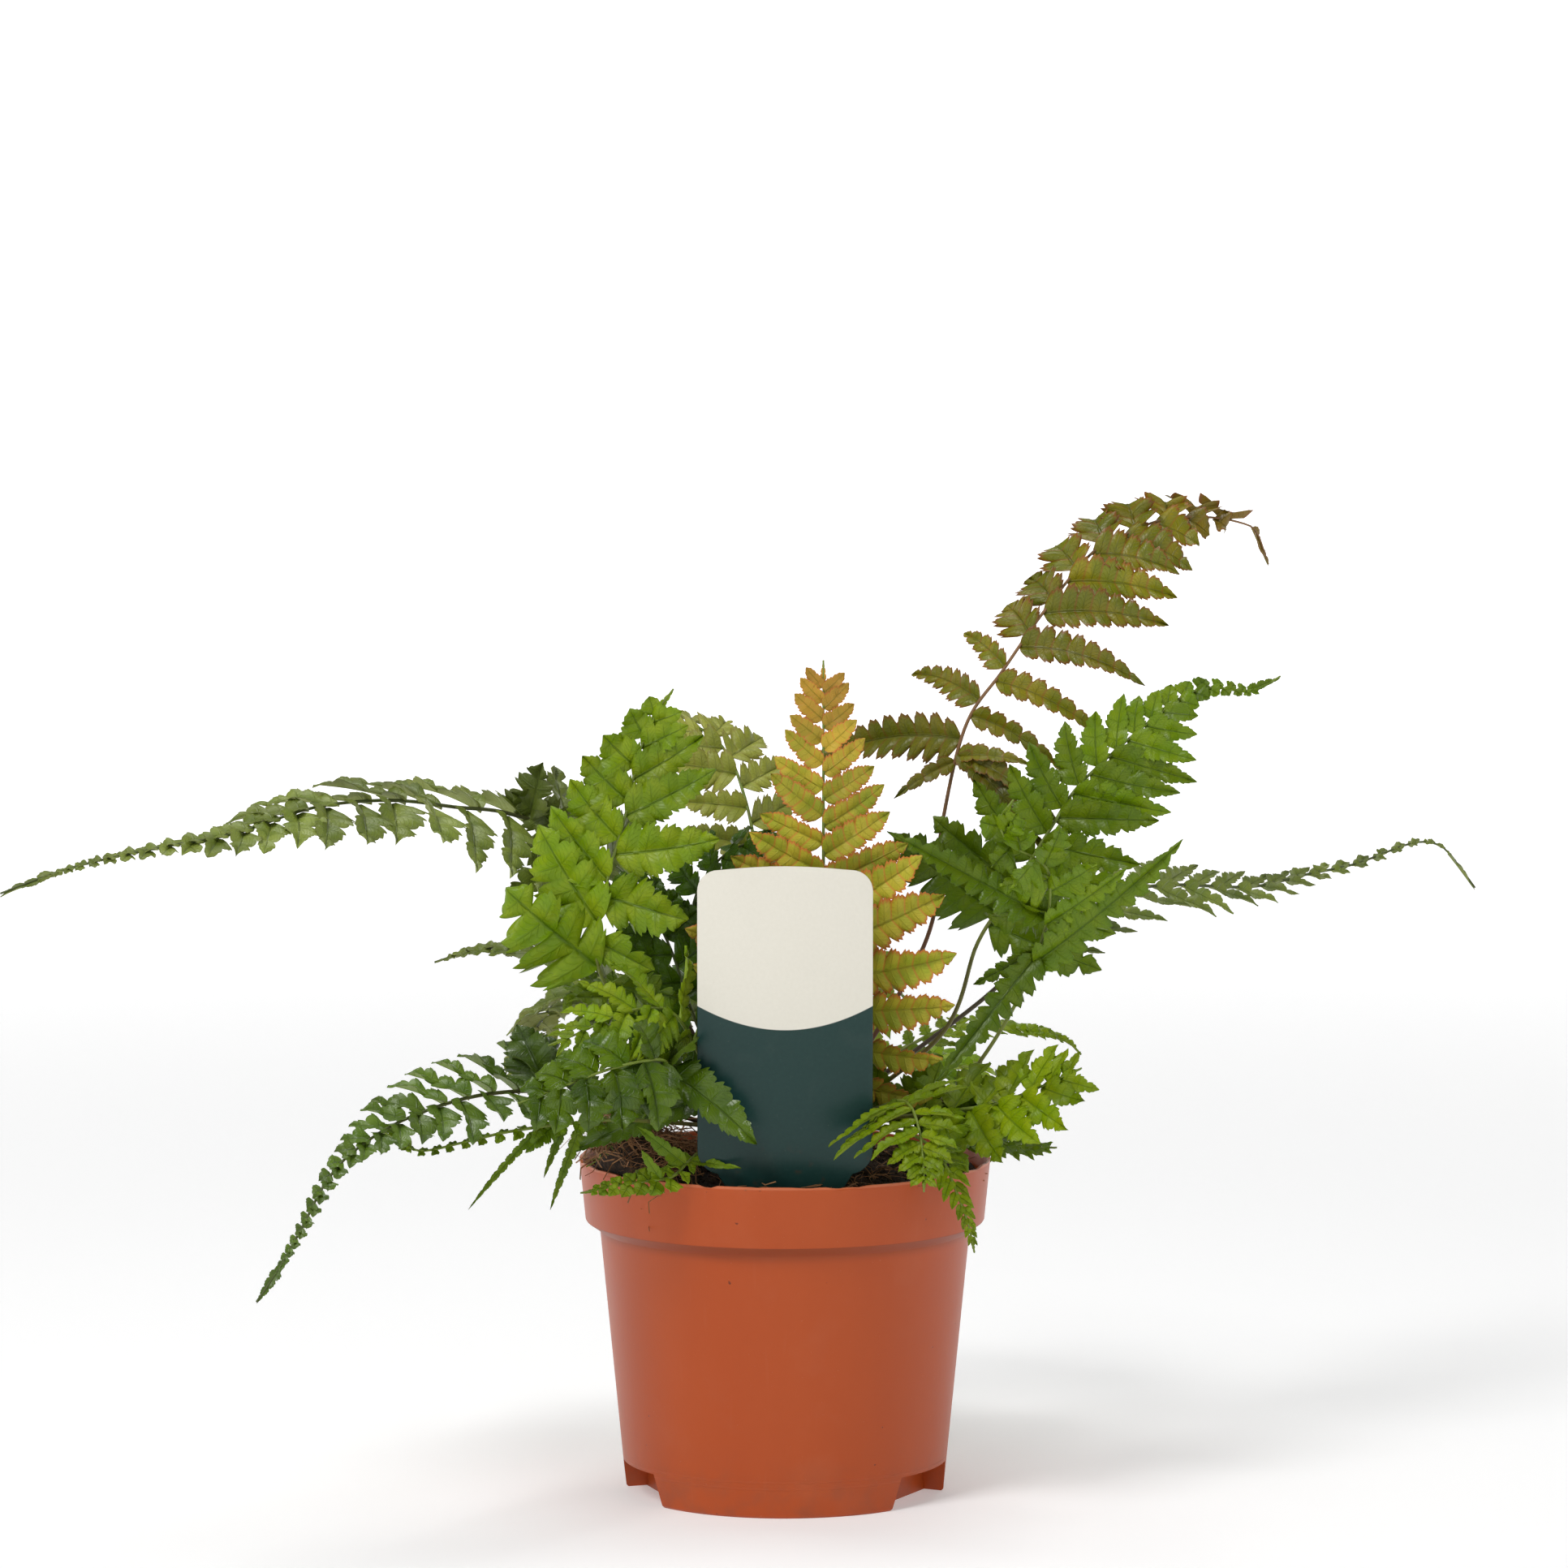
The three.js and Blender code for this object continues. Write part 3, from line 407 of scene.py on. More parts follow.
def soil_height(x, y):
    """Height of the root ball's top in mm, without its crumbs."""
    dome = SOIL_MIDDLE_Z + (SOIL_EDGE_Z - SOIL_MIDDLE_Z) * (math.hypot(x, y) / RIM_RADIUS) ** 2
    reach = ((x - MOUND["x"]) ** 2 + (y - MOUND["y"]) ** 2) / MOUND["radius"] ** 2
    lumps = 0.7 * math.sin(x * 0.31 + 1) * math.sin(y * 0.27)
    inside = max(0, SOIL_EDGE + SHOULDER["past_edge"] - math.hypot(x, y))
    shoulder = min(1, inside / SHOULDER["reach"]) ** 0.5
    return dome + MOUND["height"] * math.exp(-reach) * shoulder + lumps


def soil_wave(radius, height, angle):
    """Lifts the top rings to the soil's height and roughens them with crumbs."""
    if height < SOIL_TOP_MARK:
        return radius, height
    x = radius * math.cos(angle)
    y = radius * math.sin(angle)
    crumbs = CRUMB_HEIGHT * noise.fractal(Vector((x, y, 0)) * 0.35, 0.8, 2.1, 4)
    return radius, soil_height(x, y) + crumbs - 0.5


soil_wall = [[0, 6.4], [44.5, 6.4], [52.4, 77], [56.3, 80.6]]
soil_top = [[SOIL_EDGE * (SOIL_RINGS - i) / SOIL_RINGS, SOIL_TOP_MARK] for i in range(SOIL_RINGS + 1)]
soil_piece = new_piece("growing_medium", turned(soil_wall + soil_top, SOIL_SEGMENTS, soil_wave))
soil_middle = max(soil_piece.data.vertices, key=lambda vert: vert.co.z if vert.co.xy.length < 1e-6 else 0)
soil_middle.co.z = soil_height(0, 0) * MM
for notch_angle in NOTCH_ANGLES:
    combined(soil_piece, new_piece("notch", notch_block(notch_angle, POT_WALL + 0.3)), "DIFFERENCE")

soil_material, surface, place = new_material("dark_peat", 0.95)
crumb = place.mottled(420, 6)
damp = place.mottled(60, 3)
peat = mixed(crumb.ramp(0.3, 0.75), paint(20, 12, 6), paint(66, 45, 28))
peat = mixed(damp.ramp(0.5, 0.8) * 0.4, peat, paint(88, 60, 36))
feed(peat, surface.inputs["Base Color"])
feed(bumped(crumb, 0.9, 0.0012), surface.inputs["Normal"])


def two_toned(name, roughness, clouds, first, second, relief, strength, distance):
    """A rough natural finish that goes from one colour to another in clouds, with a fine relief."""
    material, surface, place = new_material(name, roughness)
    feed(mixed(place.mottled(*clouds), paint(*first), paint(*second)), surface.inputs["Base Color"])
    feed(bumped(place.mottled(*relief), strength, distance), surface.inputs["Normal"])
    return material


fibre_material = two_toned(
    "coir_fibre", 0.7, (240, 2), (74, 44, 24), (168, 120, 74), (2600, 2), 0.4, 0.0002)
moss_material = two_toned(
    "moss_and_grass", 0.8, (300, 3), (62, 84, 22), (138, 158, 62), (1500, 2), 0.5, 0.0003)


class Nodes:
    """A geometry node tree that is built link by link, with named inputs."""

    def __init__(self, name, inputs):
        self.tree = bpy.data.node_groups.new(name, "GeometryNodeTree")
        self.tree.interface.new_socket(name="Geometry", in_out="INPUT", socket_type="NodeSocketGeometry")
        self.ids = {}
        for label, kind in inputs:
            socket = self.tree.interface.new_socket(name=label, in_out="INPUT", socket_type=kind)
            self.ids[label] = socket.identifier
        self.tree.interface.new_socket(name="Geometry", in_out="OUTPUT", socket_type="NodeSocketGeometry")
        self.source = self.tree.nodes.new("NodeGroupInput")
        self.end = self.tree.nodes.new("NodeGroupOutput")

    def given(self, label):
        return Field(self.tree, self.source.outputs[label])

    def node(self, kind, output=0, settings=None, **inputs):
        """Adds a node, with its settings and its inputs by name, and gives one of its outputs."""
        node = self.tree.nodes.new(kind)
        for key, value in (settings or {}).items():
            setattr(node, key, value)
        for label, value in inputs.items():
            feed(value, node.inputs[label.replace("_", " ")])
        return Field(self.tree, node.outputs[output])

    def kept(self, geometry, name, value, kind="FLOAT_VECTOR"):
        """Stores a field on the points under a name."""
        settings = {"data_type": kind, "domain": "POINT"}
        return self.node(
            "GeometryNodeStoreNamedAttribute", 0, settings, Geometry=geometry, Name=name, Value=value)

    def named(self, name, kind="FLOAT_VECTOR"):
        return self.node("GeometryNodeInputNamedAttribute", 0, {"data_type": kind}, Name=name)

    def joined_up(self, *geometries):
        node = self.tree.nodes.new("GeometryNodeJoinGeometry")
        for geometry in reversed(geometries):
            self.tree.links.new(geometry.socket, node.inputs[0])
        return Field(self.tree, node.outputs[0])

    def finish(self, geometry):
        feed(geometry, self.end.inputs[0])

    def apply(self, piece, **values):
        """Runs the tree on a piece and keeps the result as its mesh."""
        step = piece.modifiers.new(self.tree.name, "NODES")
        step.node_group = self.tree
        for label, value in values.items():
            step[self.ids[label.replace("_", " ")]] = value
        return settled(piece)


# Scatters one small shape over the faces that look up, at random turns and sizes, from a fixed seed
scatter = Nodes("scattered_bits", [
    ("Density", "NodeSocketFloat"), ("Seed", "NodeSocketInt"), ("Bit", "NodeSocketObject"),
    ("Lift", "NodeSocketFloat"), ("Tilt", "NodeSocketFloat"), ("Smallest", "NodeSocketFloat"),
    ("Largest", "NodeSocketFloat"), ("Finish", "NodeSocketMaterial"), ("Middle", "NodeSocketVector"),
    ("Reach", "NodeSocketFloat"),
])
spot = scatter.node("GeometryNodeInputPosition")
away = spot.vector("SUBTRACT", scatter.given("Middle"))
away_x, away_y = away.split()[:2]
distance = (away_x * away_x + away_y * away_y).math("SQRT")
facing = scatter.node("GeometryNodeInputNormal").split()[2]
near_middle = distance.math("LESS_THAN", scatter.given("Reach"))
chosen = near_middle * facing.math("GREATER_THAN", 0.3)
faces = scatter.node(
    "GeometryNodeDistributePointsOnFaces", 0, {"distribute_method": "RANDOM"}, Mesh=scatter.given("Geometry"),
    Selection=chosen, Density=scatter.given("Density"), Seed=scatter.given("Seed"))
turn = scatter.node("FunctionNodeRandomValue", 0, {"data_type": "FLOAT_VECTOR"}, Seed=scatter.given("Seed"))
turn_node = turn.socket.node
tilt = scatter.given("Tilt")
feed(joined(tilt * -1, tilt * -1, 0.0), turn_node.inputs["Min"])
feed(joined(tilt, tilt, math.tau), turn_node.inputs["Max"])
size_node = scatter.tree.nodes.new("FunctionNodeRandomValue")
size_node.data_type = "FLOAT"
feed(scatter.given("Smallest"), size_node.inputs[2])
feed(scatter.given("Largest"), size_node.inputs[3])
bit = scatter.node("GeometryNodeObjectInfo", 4, Object=scatter.given("Bit"))
raised = scatter.node(
    "GeometryNodeSetPosition", Geometry=faces, Offset=joined(0.0, 0.0, scatter.given("Lift")))
bits = scatter.node(
    "GeometryNodeInstanceOnPoints", Points=raised, Instance=bit, Rotation=turn,
    Scale=Field(scatter.tree, size_node.outputs[1]))
bits = scatter.node("GeometryNodeRealizeInstances", Geometry=bits)
bits = scatter.node("GeometryNodeSetMaterial", Geometry=bits, Material=scatter.given("Finish"))
scatter.finish(scatter.joined_up(scatter.given("Geometry"), bits))


def bent_strand(name, length, radius, bends, sides=3):
    """A short wavy strand, closed at both ends, along a few bends in mm."""
    shape = bmesh.new()
    rings = []
    for i, (aside, up) in enumerate(bends):
        part = i / (len(bends) - 1)
        thick = radius * (1 - 0.7 * part)
        centre = Vector(((part - 0.5) * length, aside, up)) * MM
        rings.append([
            shape.verts.new(centre + Vector((0, math.cos(a), math.sin(a))) * thick * MM)
            for a in (math.tau * k / sides for k in range(sides))
        ])
    for low, high in zip(rings, rings[1:]):
        for k in range(sides):
            j = (k + 1) % sides
            shape.faces.new([low[k], low[j], high[j], high[k]])
    shape.faces.new(rings[0])
    shape.faces.new(rings[-1])
    bmesh.ops.recalc_face_normals(shape, faces=shape.faces)
    return new_piece(name, shape)


def crumb_shape(name, radius):
    """A small uneven lump of peat."""
    shape = bmesh.new()
    bmesh.ops.create_icosphere(shape, subdivisions=1, radius=radius * MM)
    for vert in shape.verts:
        vert.co *= 1 + 0.5 * noise.noise(vert.co * 900)
    return new_piece(name, shape)


coir_bends = [(0, 0), (1.6, 0.8), (0.6, 1.8), (-1.4, 1.5), (-1.8, 0.6), (0.4, 0.2)]
root_bends = [(0, 0), (3, 2), (1, 4.5), (-3, 4), (-5, 2.2), (-2, 0.8), (3, 0.3)]
coir = bent_strand("coir_strand", 14, 0.26, coir_bends)
root = bent_strand("root_strand", 24, 0.28, root_bends)
blade_of_grass = bent_strand("grass_bit", 7, 0.35, [(0, 0), (0.4, 0.9), (0.3, 1.9), (-0.4, 2.6)])
lump = crumb_shape("peat_crumb", 1.0)
soil_piece.data.materials.append(soil_material)
mound_middle = (MOUND["x"] * MM, MOUND["y"] * MM, 0)
front_left = (-0.047, -0.024, 0)
WHOLE_TOP = 0.056
for seed, bit_object, density, smallest, largest, tilt_angle, lift, finish, middle, reach in [
    (3, lump, 130000, 0.35, 1.2, 3.0, 0.0, soil_material, (0, 0, 0), WHOLE_TOP),
    (5, coir, 26000, 0.5, 1.1, 0.5, 0.0003, fibre_material, (0, 0, 0), WHOLE_TOP),
    (8, coir, 170000, 0.5, 1.3, 0.8, 0.0004, fibre_material, mound_middle, 0.021),
    (9, root, 34000, 0.5, 1.0, 0.7, 0.0006, fibre_material, mound_middle, 0.024),
    (11, blade_of_grass, 90000, 0.4, 1.0, 0.8, 0.0003, moss_material, front_left, 0.007),
]:
    scatter.apply(
        soil_piece, Density=density, Seed=seed, Bit=bit_object, Lift=lift, Tilt=tilt_angle, Smallest=smallest,
        Largest=largest, Finish=finish, Middle=middle, Reach=reach)
for helper in (coir, root, blade_of_grass, lump):
    bpy.data.objects.remove(helper)
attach(soil_piece, "root")
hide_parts("root_ball")


# The crown is the fern's short rhizome at the soil's top: a lumpy clump, covered in brown papery scales, from
# which every stalk grows.
CROWN = {"y": -1, "radius": 28, "bottom": 83, "top": 105.6}
CROWN_LUMPS = 0.07
CROWN_RINGS = 48
ball_turns = [math.pi * i / CROWN_RINGS for i in range(1, CROWN_RINGS)]
ball = [[math.sin(a) / MM, -math.cos(a) / MM] for a in ball_turns]
crown_shape = turned([[0, -1 / MM], *ball, [0, 1 / MM]], CROWN_RINGS * 2)
for vert in crown_shape.verts:
    angle = math.atan2(vert.co.y, vert.co.x)
    lumps = 1 + CROWN_LUMPS * math.sin(angle * 5) * vert.co.xy.length
    rough = 1 + CROWN_LUMPS * noise.fractal(vert.co * 5, 0.8, 2.1, 3)
    half_height = (CROWN["top"] - CROWN["bottom"]) / 2
    vert.co = Vector((
        vert.co.x * CROWN["radius"] * lumps * rough,
        vert.co.y * CROWN["radius"] * lumps * rough + CROWN["y"],
        vert.co.z * half_height * (2 - rough) + CROWN["bottom"] + half_height,
    )) * MM
crown_material = two_toned(
    "rhizome_and_scales", 0.85, (380, 3), (44, 28, 16), (112, 76, 42), (900, 4), 0.8, 0.0008)
crown_piece = new_piece("scaly_crown", crown_shape, [crown_material])
scale_bit = bent_strand("papery_scale", 5, 0.45, [(0, 0), (0.2, 0.5), (0, 1.2), (-0.4, 2)])
scatter.apply(
    crown_piece, Density=260000.0, Seed=21, Bit=scale_bit, Lift=0.0, Tilt=1.1, Smallest=0.4, Largest=0.95,
    Finish=crown_material, Middle=(0, 0, 0), Reach=0.024)
scatter.apply(
    crown_piece, Density=90000.0, Seed=25, Bit=scale_bit, Lift=0.0, Tilt=0.8, Smallest=0.5, Largest=1.1,
    Finish=soil_material, Middle=(0, 0, 0), Reach=0.028)
bpy.data.objects.remove(scale_bit)
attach(crown_piece, "root")
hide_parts("crown")


# The label is a flat plastic tag on a pointed stake, die-cut with rounded corners and pushed in behind the
# front rim. Its face is printed in two plain tones, cream over dark teal, that meet in a hanging curve.
LABEL_Y = -47.5
LABEL_HALF = 25
LABEL_TOP_Z = 188.5
LABEL_THICKNESS = 0.8
TONE_EDGE_Z = 141.5
TONE_EDGE_RISE = 7
STAKE_TIP_Z = 54
STAKE_HALF = 8
CORNER_RADIUS = 6


def corner_arc(x, z, radius, steps=8):
    """Points of a rounded corner, a quarter turn up from the side."""
    angles = [math.radians(90 * i / steps) for i in range(steps + 1)]
    return [(x + radius * math.cos(a), z + radius * math.sin(a)) for a in angles]


right_side = [(0, STAKE_TIP_Z), (STAKE_HALF, 68), (STAKE_HALF, 82)]
shoulder_turns = [math.radians(10 * t) for t in range(-8, 1)]
right_side += [(18 + 7 * math.cos(a), 107 + 7 * math.sin(a)) for a in shoulder_turns]
right_side += corner_arc(LABEL_HALF - CORNER_RADIUS, LABEL_TOP_Z - 7.2, CORNER_RADIUS)
crowned_top = [(19 - 38 * t / 12, LABEL_TOP_Z - 1.2 + 1.1 * math.sin(math.pi * t / 12)) for t in range(1, 12)]
label_outline = right_side + crowned_top + [(-x, z) for x, z in reversed(right_side[1:])]
label_shape = bmesh.new()
face = label_shape.faces.new([
    label_shape.verts.new((x * MM, (LABEL_Y - LABEL_THICKNESS / 2) * MM, z * MM)) for x, z in label_outline])
grown = bmesh.ops.extrude_face_region(label_shape, geom=[face])
moved = [item for item in grown["geom"] if isinstance(item, bmesh.types.BMVert)]
bmesh.ops.translate(label_shape, verts=moved, vec=(0, LABEL_THICKNESS * MM, 0))
bmesh.ops.recalc_face_normals(label_shape, faces=label_shape.faces)
label_material, surface, place = new_material("printed_label_plastic", 0.32)
dust = use_group(scuffs, place, Scale=1.4, Amount=0.6)
x, y, z = place.split()
tone_edge = (x * x) * (TONE_EDGE_RISE / (LABEL_HALF ** 2 * MM)) + TONE_EDGE_Z * MM
lower = (z - tone_edge).ramp(0.00015, -0.00015)
grain = place.mottled(900, 2)
cream = mixed(grain, paint(219, 215, 202), paint(225, 221, 209))
teal = mixed(grain, paint(18, 50, 47), paint(25, 57, 53))
print_tone = mixed(lower, cream, teal)
print_tone = mixed(dust["Mask"] * 0.12, print_tone, paint(150, 150, 140))
splash = place.mottled(260, 4).ramp(0.6, 0.75) * z.ramp(0.112, 0.098)
print_tone = mixed(splash * 0.5, print_tone, paint(70, 52, 38))
feed(print_tone, surface.inputs["Base Color"])
feed(dust["Mask"] * 0.25 + (grain * 0.08 + 0.26), surface.inputs["Roughness"])
bend = place.mottled(35, 2) + dust["Height"] * 0.02
feed(bumped(bend, 0.2, 0.0008), surface.inputs["Normal"])
surface.inputs["Specular IOR Level"].default_value = 0.3
label_piece = new_piece("plant_label", label_shape, [label_material])
softened = label_piece.modifiers.new("softened_edges", "BEVEL")
softened.width = 0.18 * MM
softened.segments = 2
softened.angle_limit = math.radians(50)
settled(label_piece)
smoothed(label_piece.data, 30)
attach(label_piece, "root")
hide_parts("label")


# The fronds are twice-cut fern leaves. Each is one grown piece: a stalk that is brown and scaly at its foot,
# a midrib, and leaflets in pairs that are cut into toothed lobes. Young ones are bronze to yellow, old ones
# dark. Neighbouring leaflets grow together near the tip, and short ones are stiff and plain-edged.
STALK_RADIUS = 0.8
MIDRIB_TIP_RADIUS = 0.28
SPLINE_STEPS = 24
STALK_POINT_EVERY = 2.5
STALK_GRADE = -1

# How leaflets stand: their lists' steps close up towards the tip, the left row starts a little later, and
# those that are nearly in line with the midrib still count as slanting
TABLE_CROWDING = 0.85
LEFT_STEP = 0.4
LEAST_SLANT = 0.55
MERGING_FROM = 0.3
MERGING = 0.6
MERGING_GAIN = 0.3
LEAFLET_ROLL = 12
OUT_OF_ROWS = -1

# How leaflets differ by length: short ones have plain edges, less freedom, a broad foot and a small grid
PLAIN_EDGED_LENGTH = 12
FREE_LENGTH = 14
BIG_LEAFLET = 17
SMALL_LEAFLET = 9
FOOT_BREADTH = 0.75
SHORT_FOOT_GAIN = 0.4
LOBE_LEAN = 0.4
END_LEAFLET = {"from": 0.95, "width": 0.15, "lobes": 4, "cut": 0.4, "droop": 0.05}

# How much no two leaflets are alike, in shares and in degrees
FIRST_SEED = 100
LENGTH_SPREAD = (0.95, 1.04)
LIFT_SPREAD = (-8, 8)
ANGLE_SPREAD = (-4, 4)
ROLL_SPREAD = (-9, 9)
HANG_SPREAD = (-0.03, 0.09)
LEAFLET_FACTS = ("root", "way", "ahead", "upper", "size", "bend", "edge", "tone")

# Each tone: upper side, its second tone, edge and how strong that is, veins, underside, roughness, gloss
LEAF_LOOKS = {
    "bronze": [(110, 114, 8), (134, 124, 14), (136, 70, 28), 0.85, (78, 80, 14), (120, 120, 44), 0.38, 0.35],
    "yellow": [(182, 168, 50), (150, 158, 40), (196, 108, 52), 1.0, (128, 122, 24),
               (180, 170, 70), 0.48, 0.25],
    "bright": [(112, 142, 4), (138, 158, 20), (90, 118, 2), 0.35, (56, 88, 4), (134, 156, 40), 0.38, 0.25],
    "leafy": [(94, 122, 2), (114, 136, 10), (80, 106, 2), 0.35, (50, 76, 2), (116, 138, 30), 0.36, 0.25],
    "olive": [(128, 142, 56), (102, 120, 34), (102, 106, 44), 0.35, (70, 84, 24), (140, 150, 72), 0.42, 0.5],
    "faded": [(156, 160, 62), (132, 140, 44), (126, 104, 48), 0.5, (88, 96, 30), (156, 160, 84), 0.46, 0.4],
    "mossy": [(98, 124, 36), (74, 102, 16), (74, 98, 22), 0.35, (44, 66, 10), (116, 136, 52), 0.32, 0.5],
    "dark": [(72, 104, 2), (50, 80, 0), (60, 86, 4), 0.35, (34, 56, 2), (98, 120, 28), 0.3, 0.3],
    "glossy": [(88, 114, 4), (60, 88, 0), (70, 96, 4), 0.35, (42, 64, 2), (104, 126, 28), 0.3, 0.35],
    "lime": [(112, 138, 0), (134, 152, 8), (86, 112, 0), 0.4, (64, 92, 0), (136, 156, 34), 0.38, 0.22],
}

# A frond's row, in mm and degrees. Its lists run evenly from the lowest leaflet to the tip.
#   tone, slot        its leaf finish, and its slot where that has another name
#   bare, end         the shares of its line where the leaflets begin and stop
#   pairs, crowding   how many pairs of leaflets, and how much closer they stand towards the tip
#   merging           how far neighbours near the tip grow together
#   path              points of the stalk and midrib, from inside the crown to the tip
#   face              the way the upper side looks, at the foot and at the tip
#   spread, lift      a leaflet's angle from the midrib, and out of the frond's plane
#   leaf, width       a leaflet's length, and its half-width as a share of that
#   droop, sweep      how far a leaflet hangs, and bends towards the frond's tip
#   cut, lobe         how deep its lobes are cut, and how long each lobe is
#   blunt, blunt_tip  how round the leaflets end, at the foot and at the tip
#   extra             leaflets that turn out of the rows: place, way, face, length, width
#   extra_cut         how deep the lobes of those are cut
# A list with _left is for the left side alone. What a row leaves out is as usual.
USUAL = dict(
    end=0.96, crowding=1.35, lift=[0, 0], sweep=0.14, lobe=[4.5, 4], blunt=1.9, blunt_tip=1.3, extra=[])
BEHIND = dict(spread=[76, 54, 40], lift=[-6, -6], width=[0.27, 0.3], droop=0.15, cut=[0.5, 0.35])
